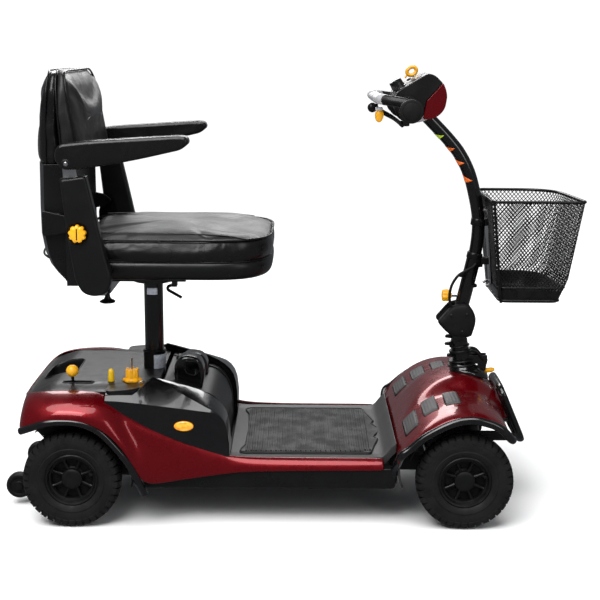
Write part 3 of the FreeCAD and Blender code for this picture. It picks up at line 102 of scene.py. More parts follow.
def rounded(outline, radius, steps=5):
    """Closed 2-D outline with its corners rounded. radius is one number or one per corner."""
    done = []
    count = len(outline)
    for i in range(count):
        r = radius[i] if isinstance(radius, (list, tuple)) else radius
        p = Vector(outline[i])
        a = Vector(outline[i - 1]) - p
        b = Vector(outline[(i + 1) % count]) - p
        reach = min(r, 0.48 * a.length, 0.48 * b.length)
        start = p + a.normalized() * reach
        end = p + b.normalized() * reach
        for k in range(steps + 1):
            t = k / steps
            done.append((1 - t) ** 2 * start + 2 * t * (1 - t) * p + t * t * end)
    return [(v.x, v.y) for v in done]


def rounded_rectangle(x0, x1, y0, y1, radius, steps=5):
    return rounded([(x0, y0), (x1, y0), (x1, y1), (x0, y1)], radius, steps)


# ---------------------------------------------------------------- pieces
def finish_piece(piece, look, body, slot, stands_for=(), bevel=0.0, segments=3, sub=0, thick=0.0,
                 angle=38.0, offset=-1.0):
    """Gives a piece its surface, edges and body; slot is not used. Lengths are in millimetres."""
    data = piece.data
    data.materials.clear()
    for one in look if isinstance(look, (list, tuple)) else (look,):
        data.materials.append(one)
    data.shade_smooth()
    if thick:
        wall = piece.modifiers.new("wall", "SOLIDIFY")
        wall.thickness = thick * MM
        wall.offset = offset
        wall.use_even_offset = True
    if bevel:
        edge = piece.modifiers.new("edge", "BEVEL")
        edge.width = bevel * MM
        edge.segments = segments
        edge.limit_method = "ANGLE"
        edge.angle_limit = math.radians(angle)
        edge.use_clamp_overlap = True
    if sub:
        fine = piece.modifiers.new("fine", "SUBSURF")
        fine.levels = sub
        fine.render_levels = sub
    else:
        data.set_sharp_from_angle(angle=math.radians(angle))
        if bevel:
            even = piece.modifiers.new("even", "WEIGHTED_NORMAL")
            even.keep_sharp = False
    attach(piece, body)
    if stands_for:
        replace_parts(piece, *stands_for)
    return piece


def add(name, verts, faces, look, body, slot, **more):
    """Piece from corners in millimetres and faces, with its normals made to agree."""
    data = bpy.data.meshes.new(name)
    data.from_pydata([Vector(v) * MM for v in verts], [], faces)
    shape = bmesh.new()
    shape.from_mesh(data)
    bmesh.ops.remove_doubles(shape, verts=shape.verts, dist=0.00002)
    bmesh.ops.recalc_face_normals(shape, faces=shape.faces)
    shape.to_mesh(data)
    shape.free()
    piece = bpy.data.objects.new(name, data)
    bpy.context.scene.collection.objects.link(piece)
    return finish_piece(piece, look, body, slot, **more)


def ring_faces(rows, count, closed=True, caps=True):
    """Faces between rows of equally many corners."""
    faces = []
    for i in range(rows - 1):
        for j in range(count if closed else count - 1):
            k = (j + 1) % count
            faces.append((i * count + j, i * count + k, (i + 1) * count + k, (i + 1) * count + j))
    if caps and closed:
        faces.append(tuple(reversed(range(count))))
        faces.append(tuple(range((rows - 1) * count, rows * count)))
    return faces


def loft(name, rings, look, body, slot, closed=True, caps=True, **more):
    """Skin over a list of rings, or over open rows."""
    verts = [p for ring in rings for p in ring]
    return add(name, verts, ring_faces(len(rings), len(rings[0]), closed, caps), look, body, slot, **more)


def slab(name, outline, y0, y1, look, body, slot, **more):
    """Outline in X-Z carried along Y."""
    rings = [[(x, y, z) for x, z in outline] for y in (y0, y1)]
    return loft(name, rings, look, body, slot, **more)


def plate(name, outline, z0, z1, look, body, slot, **more):
    """Outline in X-Y carried up Z."""
    rings = [[(x, y, z) for x, y in outline] for z in (z0, z1)]
    return loft(name, rings, look, body, slot, **more)


def tube_rings(line, radius, segs):
    """Rings round a line, with radius a number or a function of the fraction along it."""
    line = [Vector(p) for p in line]
    count = len(line)
    rings = []
    side = None
    for i, p in enumerate(line):
        ahead = (line[min(i + 1, count - 1)] - line[max(i - 1, 0)]).normalized()
        if side is None:
            guide = Vector((0, 1, 0)) if abs(ahead.y) < 0.9 else Vector((1, 0, 0))
            side = ahead.cross(guide).normalized()
        side = (side - ahead * side.dot(ahead)).normalized()
        up = ahead.cross(side)
        r = radius(i / (count - 1)) if callable(radius) else radius
        rx, ry = r if isinstance(r, (list, tuple)) else (r, r)
        rings.append([p + side * rx * math.cos(a) + up * ry * math.sin(a) for a in around(segs)])
    return rings


def tube(name, line, radius, look, body, slot, segs=16, **more):
    return loft(name, tube_rings(line, radius, segs), look, body, slot, **more)


def turned_rings(profile, centre, axis, segs):
    """Rings of a turned shape. profile is (radius, distance along axis)."""
    axis = Vector(axis).normalized()
    guide = Vector((0, 1, 0)) if abs(axis.y) < 0.9 else Vector((1, 0, 0))
    side = axis.cross(guide).normalized()
    up = axis.cross(side)
    rings = []
    for r, d in profile:
        middle = Vector(centre) + axis * d
        rings.append([middle + (side * math.cos(a) + up * math.sin(a)) * max(r, 0.02) for a in around(segs)])
    return rings


def turned(name, profile, centre, axis, look, body, slot, segs=48, **more):
    return loft(name, turned_rings(profile, centre, axis, segs), look, body, slot, **more)


def joined(name, parts, look, body, slot, **more):
    """One piece from several (verts, faces) parts."""
    verts, faces = [], []
    for part_verts, part_faces in parts:
        base = len(verts)
        verts += list(part_verts)
        faces += [tuple(i + base for i in face) for face in part_faces]
    return add(name, verts, faces, look, body, slot, **more)


def part_of(rings, closed=True, caps=True):
    """Corners and faces of a loft, for joined()."""
    return [p for ring in rings for p in ring], ring_faces(len(rings), len(rings[0]), closed, caps)


def applied(piece):
    """Turns the piece's modifiers into its mesh."""
    view = bpy.context.evaluated_depsgraph_get()
    data = bpy.data.meshes.new_from_object(piece.evaluated_get(view))
    piece.modifiers.clear()
    piece.data = data
    return piece


def cut(piece, cutter, angle=0.0):
    """Cuts one piece's shape out of another, removes the cutter and marks edges past the angle as sharp."""
    tool = piece.modifiers.new("cut", "BOOLEAN")
    tool.operation = "DIFFERENCE"
    tool.solver = "EXACT"
    tool.object = cutter
    bpy.context.view_layer.update()
    applied(piece)
    bpy.data.objects.remove(cutter)
    even = piece.modifiers.new("even", "WEIGHTED_NORMAL")
    even.keep_sharp = True
    if angle:
        piece.data.shade_smooth()
        piece.data.set_sharp_from_angle(angle=math.radians(angle))
    return piece


# ---------------------------------------------------------------- materials
def look(name, colour, rough, metal=0.0, coat=0.0, grain=None, mottle=None, wear=None, sheen=0.0,
         specular=0.5, wrinkle=None):
    """Procedural surface. grain and wrinkle are (scale, height in mm), mottle is (scale, other colour,
    share) and wear is (scale, lowest roughness, highest roughness)."""
    made = bpy.data.materials.new(name)
    made.use_nodes = True
    tree = made.node_tree
    shader = tree.nodes["Principled BSDF"]
    shader.inputs["Base Color"].default_value = (*colour, 1)
    shader.inputs["Roughness"].default_value = rough
    shader.inputs["Metallic"].default_value = metal
    shader.inputs["Coat Weight"].default_value = coat
    shader.inputs["Coat Roughness"].default_value = 0.04
    shader.inputs["Specular IOR Level"].default_value = specular
    shader.inputs["Sheen Weight"].default_value = sheen
    where = tree.nodes.new("ShaderNodeTexCoord")

    def cloud(scale, detail=3.0):
        node = tree.nodes.new("ShaderNodeTexNoise")
        node.inputs["Scale"].default_value = scale
        node.inputs["Detail"].default_value = detail
        tree.links.new(where.outputs["Object"], node.inputs["Vector"])
        return node

    def ramp(source, low, high, from_low=0.35, from_high=0.65):
        node = tree.nodes.new("ShaderNodeMapRange")
        node.inputs["From Min"].default_value = from_low
        node.inputs["From Max"].default_value = from_high
        node.inputs["To Min"].default_value = low
        node.inputs["To Max"].default_value = high
        tree.links.new(source, node.inputs["Value"])
        return node.outputs["Result"]

    if mottle:
        scale, darker, amount = mottle
        mixed = tree.nodes.new("ShaderNodeMix")
        mixed.data_type = "RGBA"
        mixed.inputs["A"].default_value = (*colour, 1)
        mixed.inputs["B"].default_value = (*darker, 1)
        tree.links.new(ramp(cloud(scale).outputs["Fac"], 0.0, amount), mixed.inputs["Factor"])
        tree.links.new(mixed.outputs["Result"], shader.inputs["Base Color"])
    if wear:
        scale, low, high = wear
        tree.links.new(ramp(cloud(scale, 4.0).outputs["Fac"], low, high), shader.inputs["Roughness"])
    height = None
    for pair, kind, output in ((grain, "ShaderNodeTexVoronoi", "Distance"), (wrinkle, "ShaderNodeTexNoise",
                                                                             "Fac")):
        if not pair:
            continue
        scale, amount = pair
        bump = tree.nodes.new("ShaderNodeBump")
        bump.inputs["Distance"].default_value = amount * MM
        bump.inputs["Strength"].default_value = 1.0
        cells = tree.nodes.new(kind)
        cells.inputs["Scale"].default_value = scale
        if pair is wrinkle:
            cells.inputs["Detail"].default_value = 1.0
            cells.inputs["Distortion"].default_value = 1.2
        tree.links.new(where.outputs["Object"], cells.inputs["Vector"])
        tree.links.new(cells.outputs[output], bump.inputs["Height"])
        if height:
            tree.links.new(height, bump.inputs["Normal"])
        height = bump.outputs["Normal"]
    if height:
        tree.links.new(height, shader.inputs["Normal"])
    return made


TYRE = look("tyre_rubber", (0.0055, 0.0053, 0.0052), 0.62, grain=(700, 0.10),
            mottle=(30, (0.010, 0.0095, 0.009), 0.7), wear=(45, 0.5, 0.78), specular=0.22)
RIM = look("rim_plastic", (0.0040, 0.0040, 0.0042), 0.36, grain=(1500, 0.03), wear=(60, 0.3, 0.5),
           specular=0.28)
RED = look("candy_red", (0.155, 0.0010, 0.0042), 0.22, metal=0.6, coat=0.5,
           mottle=(900, (0.11, 0.0007, 0.003), 0.6), wear=(35, 0.22, 0.33), specular=0.2)
DECK = look("deck_satin", (0.0060, 0.0056, 0.0058), 0.36, grain=(900, 0.05),
            mottle=(12, (0.0048, 0.0046, 0.0048), 0.8), wear=(20, 0.3, 0.45), specular=0.34)
TRIM = look("trim_black", (0.0042, 0.0042, 0.0044), 0.3, grain=(1100, 0.04), wear=(25, 0.24, 0.42),
            specular=0.3)
TRAY = look("tray_grey", (0.036, 0.035, 0.035), 0.42, grain=(1200, 0.05),
            mottle=(18, (0.028, 0.0275, 0.028), 0.7), specular=0.3)
MAT = look("mat_rubber", (0.0065, 0.0065, 0.0068), 0.5, grain=(1400, 0.06),
           mottle=(25, (0.011, 0.0107, 0.0105), 0.8), wear=(30, 0.4, 0.62), specular=0.3)
PATCH = look("patch_grey", (0.055, 0.051, 0.052), 0.5, grain=(1500, 0.05),
             mottle=(80, (0.042, 0.039, 0.040), 0.7), specular=0.3)
BATTERY = look("battery_grey", (0.0060, 0.0057, 0.0060), 0.42, grain=(800, 0.08),
               mottle=(15, (0.0048, 0.0048, 0.005), 0.8), specular=0.4)
VINYL = look("vinyl", (0.0095, 0.0084, 0.0086), 0.33, grain=(420, 0.16), wrinkle=(26, 1.1),
             mottle=(9, (0.014, 0.0125, 0.013), 0.7), wear=(14, 0.36, 0.5), specular=0.42)
VINYL_SIDE = look("vinyl_side", (0.0042, 0.0038, 0.0042), 0.24, grain=(420, 0.14), wrinkle=(22, 1.8),
                  wear=(12, 0.18, 0.32), specular=0.36)
PIPING = look("piping", (0.003, 0.003, 0.003), 0.3, grain=(500, 0.1), wear=(60, 0.22, 0.4), specular=0.3)
SHELL = look("shell_plastic", (0.0042, 0.0042, 0.0045), 0.3, grain=(900, 0.05), wear=(16, 0.24, 0.38),
             specular=0.32)
ARM = look("arm_plastic", (0.0045, 0.0045, 0.0048), 0.34, grain=(700, 0.1), wear=(20, 0.28, 0.42),
           specular=0.3)
GLOSS = look("gloss_black", (0.0024, 0.0024, 0.0027), 0.16, coat=0.4, wear=(40, 0.12, 0.24),
             mottle=(30, (0.0045, 0.0042, 0.0045), 0.5), specular=0.4)
FRAME_PAINT = look("frame_paint", (0.0045, 0.0045, 0.0048), 0.38, grain=(1400, 0.05), wear=(30, 0.3, 0.5),
                   specular=0.3)
STEEL = look("bright_steel", (0.55, 0.55, 0.56), 0.24, metal=1.0, wear=(80, 0.18, 0.34),
             mottle=(60, (0.4, 0.4, 0.41), 0.5))
BRASS = look("brass", (0.62, 0.46, 0.2), 0.3, metal=1.0, wear=(90, 0.22, 0.4),
             mottle=(70, (0.4, 0.3, 0.12), 0.6))
CAST = look("cast_grey", (0.03, 0.03, 0.032), 0.55, metal=0.3, grain=(500, 0.15),
            mottle=(30, (0.02, 0.02, 0.021), 0.8))
YELLOW = look("yellow_plastic", (0.86, 0.42, 0.008), 0.3, mottle=(50, (0.78, 0.33, 0.004), 0.7),
              wear=(60, 0.24, 0.4))
LEMON = look("yellow_button", (0.86, 0.55, 0.01), 0.3, mottle=(50, (0.78, 0.45, 0.004), 0.7),
             wear=(60, 0.24, 0.4))
RUBBER = look("rubber", (0.0042, 0.0042, 0.0042), 0.6, grain=(1000, 0.08),
              mottle=(40, (0.008, 0.0076, 0.0076), 0.7), wear=(30, 0.5, 0.72), specular=0.2)
AMBER = look("amber_lens", (0.95, 0.25, 0.008), 0.18, coat=0.6, mottle=(110, (1.0, 0.52, 0.05), 1.0),
             grain=(260, 0.5))
WIRE = look("coated_wire", (0.0030, 0.0030, 0.0033), 0.3, wear=(60, 0.22, 0.42),
            mottle=(60, (0.006, 0.006, 0.006), 0.6), specular=0.3)
SILVER = look("silver_plastic", (0.40, 0.40, 0.41), 0.3, mottle=(40, (0.42, 0.42, 0.43), 0.7),
              wear=(40, 0.22, 0.4))
LABEL = look("plain_sticker", (0.50, 0.53, 0.60), 0.35, mottle=(160, (0.30, 0.32, 0.36), 0.7),
             wear=(70, 0.3, 0.5))
LIME = look("decal_lime", (0.45, 0.62, 0.03), 0.3, mottle=(90, (0.36, 0.5, 0.02), 0.6))
ORANGE = look("decal_orange", (0.85, 0.16, 0.01), 0.3, mottle=(90, (0.72, 0.11, 0.01), 0.6))
HOLE = look("dark_inside", (0.004, 0.004, 0.004), 0.7, grain=(600, 0.05),
            mottle=(30, (0.008, 0.008, 0.008), 0.6), specular=0.2)


def dress(node, surface):
    """Gives a carried-over CAD node its surface."""
    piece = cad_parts[node]
    piece.data.materials.clear()
    piece.data.materials.append(surface)
    piece.data.shade_smooth()
    piece.data.set_sharp_from_angle(angle=math.radians(32))


# ---------------------------------------------------------------- wheels
AXLE_Z = 108.0
TYRE_Y = 226.0
WHEELS = {"rear": -478.0, "front": 386.0}


def tyre(name, x, side, body):
    """Carcass with raised rings on the sidewall and two staggered rows of shoulder lugs."""
    flank = [(59, -20), (63, -24), (72, -26.5), (74, -25.6), (82, -27.6), (92, -26.8), (99, -23.8),
             (103.6, -15)]
    wall = flank + [(105.2, 0)] + [(r, -y) for r, y in reversed(flank)] + [(57, 0)]
    rings = []
    for turn in around(96):
        rings.append([(x + r * math.cos(turn), side * TYRE_Y + y, AXLE_Z + r * math.sin(turn))
                      for r, y in wall])
    rings.append(rings[0])
    parts = [part_of(rings, caps=False)]
    lug = [(7.5, 100), (7.5, 107.6), (19, 106.2), (25.5, 101.5), (27.4, 92.0), (25.4, 88.0), (20, 97)]
    middle = [(-6, 101), (-6, 107.8), (6, 107.8), (6, 101)]
    lugs = 38
    for k in range(lugs):
        for row, shift, half in ((1, 0.0, 0.062), (-1, 0.5, 0.062), (0, 0.25, 0.066)):
            turn = 2 * math.pi * (k + shift) / lugs
            outline = lug if row else middle
            ends = []
            for edge in (-1, 1):
                bend = turn + edge * half
                ends.append([(x + r * math.cos(bend), side * TYRE_Y + (row or 1) * y,
                              AXLE_Z + r * math.sin(bend)) for y, r in outline])
            parts.append(part_of(ends))
    return joined(name, parts, TYRE, body, "tyre", angle=30.0)


def wheel(place, word, side):
    """Tyre, rim, web, cap, spokes and valve of one wheel, and the shaft end of a rear one."""
    x = WHEELS[place]
    body = f"wheel_{place}_{word}"
    tag = f"{place}_{word}"
    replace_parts(tyre(f"tyre_{tag}_look", x, side, body), f"tyre_{tag}")
    centre = (x, side * TYRE_Y, AXLE_Z)
    out = (0, side, 0)
    ring = [(59.5, -21), (60.5, 14), (59.5, 19.5), (56.5, 21.5), (53.0, 20.0), (50.0, 13.5), (47.0, 12.5),
            (45.2, 9.5), (46.0, 2.0), (52, -8), (53, -21)]
    outer = turned(f"rim_{tag}_ring", shut(ring), centre, out, RIM, body, "rim_black", segs=96, caps=False)
    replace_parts(outer, f"rim_{tag}")
    turned(f"rim_{tag}_web", [(0, -2), (52, -2), (52, -5), (20, -5), (20, -20), (0, -20)], centre, out, HOLE,
           body, "rim_black", segs=64)
    cap = [(0, 16.0), (13, 16.0), (19, 15.4), (22.0, 13.6), (23.0, 10.5), (23.2, 4.0), (26.5, 0.5),
           (26.5, -2), (0, -2)]
    turned(f"rim_{tag}_cap", cap, centre, out, RIM, body, "rim_black", segs=64)
    spokes = []
    for k in range(8):
        turn = 2 * math.pi * (k + 0.5) / 8
        along = Vector((math.cos(turn), 0, math.sin(turn)))
        across = Vector((-math.sin(turn), 0, math.cos(turn)))
        rings = []
        for r, half, top in ((19, 4.6, 9.0), (26, 3.2, 9.5), (38, 2.5, 9.8), (46.5, 3.2, 10.8),
                             (49, 5.0, 11.2)):
            base = Vector(centre) + along * r
            up = Vector(out)
            rings.append([base - across * half + up * -3, base - across * half + up * (top - 1.6),
                          base - across * (half * 0.45) + up * top, base + across * (half * 0.45) + up * top,
                          base + across * half + up * (top - 1.6), base + across * half + up * -3])
        spokes.append(part_of(rings))
    joined(f"rim_{tag}_spokes", spokes, RIM, body, "rim_black", angle=30.0)
    turned(f"rim_{tag}_valve", [(0, 0), (2.6, 0), (2.4, 12), (3.2, 12.5), (3.2, 17), (0, 17.5)],
           Vector(centre) + Vector((38, side * 6, 12)), (0.35, side, 0.1), RUBBER, body, "rim_black", segs=14)
    if place == "rear":
        turned(f"shaft_{tag}", [(0, -38), (8.5, -38), (8.5, -19), (0, -19)], centre, out, STEEL, body,
               "steel", segs=24)


for place_name in WHEELS:
    for side_name, side_sign in SIDES:
        wheel(place_name, side_name, side_sign)

for word, side in SIDES:
    middle = (-624, side * 110, 46)
    rim_line = there_and_back([(4.2, -10.5), (9, -11), (11, -8.5), (19, -8.0), (21, -10.5), (26, -10.8),
                               (29.4, -7.5), (30, -3)])
    tip = turned(f"anti_tip_{word}_roller", shut(rim_line), middle, (0, side, 0), RUBBER, f"anti_tip_{word}",
                 "tip_black", segs=64, caps=False)
    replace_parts(tip, f"anti_tip_wheel_{word}")

# ---------------------------------------------------------------- rear bodywork
REAR_SIDE = [  # upper edge, lower edge, how far the middle is drawn in
    ((212, 203, 147.5), (212, 225, 127), 0), ((120, 203, 147.5), (120, 226, 127), 0),
    ((0, 203, 147.5), (0, 226, 126), 0), ((-100, 206, 149), (-104, 227, 124), 0),
    ((-137, 212, 154), (-150, 229, 118), 0), ((-190, 217, 170), (-215, 233, 110), 0),
    ((-245, 218, 189), (-268, 240, 103), 1), ((-310, 219, 219), (-316, 248, 97), 4),
    ((-345, 219, 240), (-334, 256, 130), 6), ((-372, 207, 259), (-352, 260, 168), 6),
    ((-393, 194, 280.5), (-380, 262, 207), 3), ((-420, 188, 290.5), (-415, 262, 235), 0),
    ((-455, 187, 294), (-455, 262, 249), 0), ((-500, 187, 294), (-503, 262, 249), 0),
    ((-545, 184, 291.5), (-548, 258, 231), 0), ((-572, 175, 285), (-581, 246, 222), 0),
    ((-583, 160, 280), (-592, 224, 221), 0), ((-587, 125, 280), (-596, 160, 221), 0),
    ((-588, 80, 280), (-597, 85, 221), 0)]


def side_ring(top, low, draw, side):
    """Skin from the upper edge, over a round shoulder, down to the lower edge."""
    line = []
    for k in range(10):
        t = k / 9
        turn = t * math.pi / 2
        out = math.sin(turn) ** 0.9
        down = 1 - math.cos(turn)
        x = top[0] + (low[0] - top[0]) * (0.35 * out + 0.65 * down)
        y = top[1] + (low[1] - top[1]) * out - draw * math.sin(math.pi * smooth(t)) * 1.4
        z = top[2] + (low[2] - top[2]) * (0.12 * out + 0.88 * down)
        line.append((x, side * y, z))
    return line


rear_rings = [side_ring(top, low, draw, -1) for top, low, draw in REAR_SIDE]
rear_rings.append([(-588 - 9.5 * (k / 9) ** 0.6, 0, 280 - 59 * (k / 9) ** 1.3) for k in range(10)])
rear_rings += [side_ring(top, low, draw, 1) for top, low, draw in reversed(REAR_SIDE)]
rear_skin = loft("rear_body_skin", rear_rings, RED, "chassis", "body_red", closed=False, sub=2, thick=3.0,
                 offset=1.0)
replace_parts(rear_skin, "rear_shroud")


def rear_top(x, y):
    """Height of the dark rear deck."""
    back = smooth((x + 590) / 75.0)
    return 279 + (23 - 8.5 * smooth((abs(y) - 138) / 50.0)) * back


deck_round = [50, 30, 30, 14, 10, 12, 8]
deck_outline = rounded(there_and_back([(-590, -165), (-572, -184), (-500, -190), (-416, -190), (-388, -190),
                                       (-334, -150), (-296, -146)]), deck_round + deck_round[::-1], 6)


def draped(name, outline, height, drop, surface, body, slot, step=9.0, **more):
    """Skin over an outline in plan whose height follows a function, with a turned-down edge."""
    shape = bmesh.new()
    ring = [shape.verts.new((x * MM, y * MM, 0)) for x, y in outline]
    shape.faces.new(ring)
    xs = [x for x, _ in outline]
    ys = [y for _, y in outline]
    for axis, low, high in ((0, min(xs), max(xs)), (1, min(ys), max(ys))):
        place = low + step
        while place < high:
            normal = (1, 0, 0) if axis == 0 else (0, 1, 0)
            point = tuple(place * MM * c for c in normal)
            bmesh.ops.bisect_plane(shape, geom=shape.verts[:] + shape.edges[:] + shape.faces[:],
                                   plane_co=point, plane_no=normal, dist=1e-6)
            place += step
    border = [e for e in shape.edges if e.is_boundary]
    down = bmesh.ops.extrude_edge_only(shape, edges=border)
    low_verts = {v for v in down["geom"] if isinstance(v, bmesh.types.BMVert)}
    for v in shape.verts:
        v.co.z = height(v.co.x / MM, v.co.y / MM) * MM - (drop * MM if v in low_verts else 0)
    bmesh.ops.recalc_face_normals(shape, faces=shape.faces)
    data = bpy.data.meshes.new(name)
    shape.to_mesh(data)
    shape.free()
    piece = bpy.data.objects.new(name, data)
    bpy.context.scene.collection.objects.link(piece)
    return finish_piece(piece, surface, body, slot, **more)


deck_top = draped("rear_deck_look", deck_outline, rear_top, 12.0, DECK, "chassis", "deck_satin", bevel=3.0,
                  angle=50)
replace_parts(deck_top, "rear_deck_cover")
grab = rounded(there_and_back([(-571, -46), (-556, -61), (-494, -61)]), [16, 16, 18, 18, 16, 16])
cut(deck_top, plate("grab_cutter", grab, 240, 330, HOLE, "chassis", "deck_satin"))
slot_outline = rounded_rectangle(-509, -441, -146, -134, 5.8)
cut(deck_top, plate("slot_cutter", slot_outline, 240, 330, HOLE, "chassis", "deck_satin"))
well = []
for z, grow in ((300.5, 3.0), (302.2, 1.2), (300.5, -0.6), (292, -1.2), (262, -3.0), (258, -8)):
    well.append([(x + (grow if x > -530 else -grow), y + (grow if y > 0 else -grow),
                  z + (rear_top(x, y) - 300) * (1 if z > 280 else 0)) for x, y in grab])
loft("grab_hole_rim", well, DECK, "chassis", "deck_satin", caps=False, thick=1.2, sub=1)
plate("grab_hole_floor", grab, 255, 259, HOLE, "chassis", "deck_satin")
slot_rings = []
for z, grow in ((301.5, 2.4), (303.2, 1.0), (300, -0.3), (282, -0.3)):
    slot_rings.append([(x + (grow if x > -476 else -grow), y + (grow if y > -140 else -grow), z)
                       for x, y in slot_outline])
loft("lever_slot_rim", slot_rings, TRIM, "chassis", "trim_black", caps=False, thick=0.8, sub=1)
plate("lever_slot_floor", slot_outline, 280, 282, HOLE, "chassis", "deck_satin")


def ledge_top(x, y):
    return 303.5 - 5.0 * smooth((-330 - x) / 90.0)


# stations of the battery side: x, inner height, how far out the ridge is, ridge height, outer height
POD_OUT = 225.0
POD = [(-404, 296, 214, 293, 281), (-378, 297, 214, 294, 280), (-345, 299, 213, 294, 277),
       (-330, 306, 196, 302, 275.5), (-318, 312, 176, 311, 274), (-306, 318, 160, 318, 272.6),
       (-290, 314, 167, 312, 270.5), (-262, 306, 180, 301.5, 267), (-235, 299, 193, 290, 264),
       (-205, 290, 208, 278, 260), (-180, 278, 219, 267.5, 257), (-165, 268, 223.5, 260.5, 254),
       (-152, 256, 223.5, 250.5, 246), (-143, 242, 222, 238, 234), (-137, 222, 220, 220, 217),
       (-134, 196, 217, 196, 194), (-133, 168, 214, 168, 166)]
for word, side in SIDES:
    outline = rounded([(-406, side * 84), (-406, side * 205), (-352, side * 205), (-322, side * 180),
                       (-302, side * 146), (-304, side * 104), (-326, side * 84)],
                      [6, 16, 20, 22, 26, 22, 10], 6)
    draped(f"ledge_{word}", outline, ledge_top, 18.0, DECK, "chassis", "deck_satin", bevel=2.6, angle=50)
    pod_rings = []
    for x, flat, ridge_y, ridge, low in POD:
        pod_rings.append([(x, side * 152, 140), (x, side * 152, flat),
                          (x, side * (152 + 0.5 * (ridge_y - 152)), 0.5 * (flat + ridge) + 1.0),
                          (x, side * (ridge_y - 7), ridge + 0.8), (x, side * ridge_y, ridge - 1.0),
                          (x, side * (ridge_y + 0.5 * (POD_OUT - ridge_y)), 0.5 * (ridge + low)),
                          (x, side * (POD_OUT - 0.8), low + 2.0), (x, side * (POD_OUT - 0.3), low - 4.0),
                          (x, side * (POD_OUT - 4), 190), (x, side * (POD_OUT - 8), 140)])
    body_pod = loft(f"battery_side_{word}", pod_rings, GLOSS, "chassis", "deck_satin", bevel=3.2, segments=3,
                    angle=24)
    if side < 0:
        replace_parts(body_pod, "battery_housing")
plate("battery_tray", rounded_rectangle(-292, -136, -152, 152, 4), 125, 129, DECK, "chassis", "deck_satin",
      bevel=1.0)


def arch_rows(centre, radius, start, sweep, steps, widths, side):
    """Rows across a wheel arch, from a start angle in degrees, over the top."""
    found = []
    for k in range(steps + 1):
        turn = math.radians(start + sweep * k / steps)
        found.append([(centre[0] + radius * math.cos(turn), side * y, centre[1] + radius * math.sin(turn))
                      for y in widths])
    return found


# arch lips and skirts
REAR_LIP = [(-317, 248, 78), (-328, 254, 104), (-350, 257, 149), (-378, 258, 188), (-414, 258, 224),
            (-455, 258, 242), (-497, 258, 245), (-532, 257, 240), (-562, 252, 229), (-586, 240, 218)]
for word, side in SIDES:
    centre_x, centre_z = WHEELS["rear"], AXLE_Z
    lip = [Vector((x, side * y, z)) for x, y, z in REAR_LIP]
    tube(f"rear_arch_lip_{word}", spline(lip, 6), (8.2, 8.6), GLOSS, "chassis", "trim_black", segs=16)
    liner = arch_rows((centre_x, centre_z), 134, -6, 130, 32, (188, 215, 250), side)
    loft(f"rear_arch_liner_{word}", liner, HOLE, "chassis", "trim_black", closed=False, thick=2.0)
    wall = [[(centre_x + r * math.cos(math.radians(a)), side * 187, centre_z + r * math.sin(math.radians(a)))
             for r in (88, 112, 135)] for a in range(-4, 133, 4)]
    loft(f"rear_arch_wall_{word}", wall, HOLE, "chassis", "trim_black", closed=False, thick=2.0)
    skirt = rounded([(-322, 84), (-322, 99), (-268, 105), (-204, 114), (-104, 127), (0, 129), (232, 130),
                     (236, 84), (-300, 84)], [4, 2, 20, 20, 20, 20, 2, 12, 4])
    trims = slab(f"skirt_{word}", skirt, side * 197, side * 224, TRIM, "chassis", "trim_black", bevel=4.0,
                 segments=4)
    if side < 0:
        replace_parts(trims, "lower_trims")

# reflectors
REFLECTOR_X, REFLECTOR_Z = -232, 227
for word, side in SIDES:
    lens = []
    for wide, tall, y in ((22.2, 11.6, 221.0), (21.5, 11, 225.4), (21.5, 11, 227.4),
                          (21.5 * 0.9, 11 * 0.9, 228.8), (21.5 * 0.6, 11 * 0.6, 230.0),
                          (21.5 * 0.001, 11 * 0.001, 230.6)):
        lens.append([(REFLECTOR_X + wide * math.cos(a), side * y, REFLECTOR_Z + tall * math.sin(a))
                     for a in around(36)])
    piece = loft(f"reflector_{word}_look", lens, AMBER, "chassis", "amber", sub=1)
    if side < 0:
        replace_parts(piece, "reflectors")

# ---------------------------------------------------------------- battery pack
pack = rounded([(-290, 131), (-290, 300), (-214, 275), (-180, 266), (-158, 244), (-145, 210), (-140, 131)],
               [4, 8, 60, 40, 40, 20, 4], 8)
case = slab("battery_case", pack, -149.5, 149.5, BATTERY, "battery", "battery_grey", bevel=7.0, segments=5,
            angle=60)
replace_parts(case, "battery_pack")
for k, y in enumerate((-112, 112)):
    seam = [Vector((x, y, z + 0.6)) for x, z in ((-286, 299), (-250, 287), (-214, 276), (-190, 269.6),
                                                 (-176, 263), (-164, 250.6), (-154, 234), (-147, 214),
                                                 (-143.5, 180), (-142, 150))]
    tube(f"battery_seam_{k}", spline(seam, 4), 1.6, TRIM, "battery", "battery_grey", segs=10)
for word, side in SIDES:
    y0 = side * 60
    sink = 24 if side > 0 else 0
    cup = rounded([(-266, 256), (-266, 330 - sink), (-246, 350 - sink), (-208, 344 - sink),
                   (-196, 314 - sink), (-200, 281 - sink), (-210, 246), (-250, 250)],
                  [10, 30, 22, 22, 30, 40, 10, 10], 7)
    tower = slab(f"battery_handle_{word}", cup, y0 - 25, y0 + 25, GLOSS, "battery", "battery_grey",
                 bevel=10.0, segments=6, angle=50)
    mouth = rounded([(x, z - sink) for x, z in ((-242, 343), (-211, 342), (-206, 322), (-219, 308),
                                                (-240, 316))], [8, 8, 8, 8, 8], 5)
    rings = [[(x, y0 + side * 40, z - 4) for x, z in mouth], [(x + 2, y0 + side * 4, z - 10)
                                                              for x, z in mouth]]
    cut(applied(tower), loft(f"mouth_cutter_{word}", rings, HOLE, "battery", "battery_grey"), angle=40)
    lip = [Vector((x, y0 + side * 25.2, z - 6.4)) for x, z in mouth]
    tube(f"battery_mouth_lip_{word}", lip + [lip[0], lip[1]], 2.0, GLOSS, "battery", "battery_grey", segs=8)
bow = spline([(-252, -46, 328), (-256, -30, 329), (-257, 0, 322), (-256, 30, 312), (-252, 46, 304)], 8)
tube("battery_bow", bow, 10.5, BATTERY, "battery", "battery_grey", segs=20)

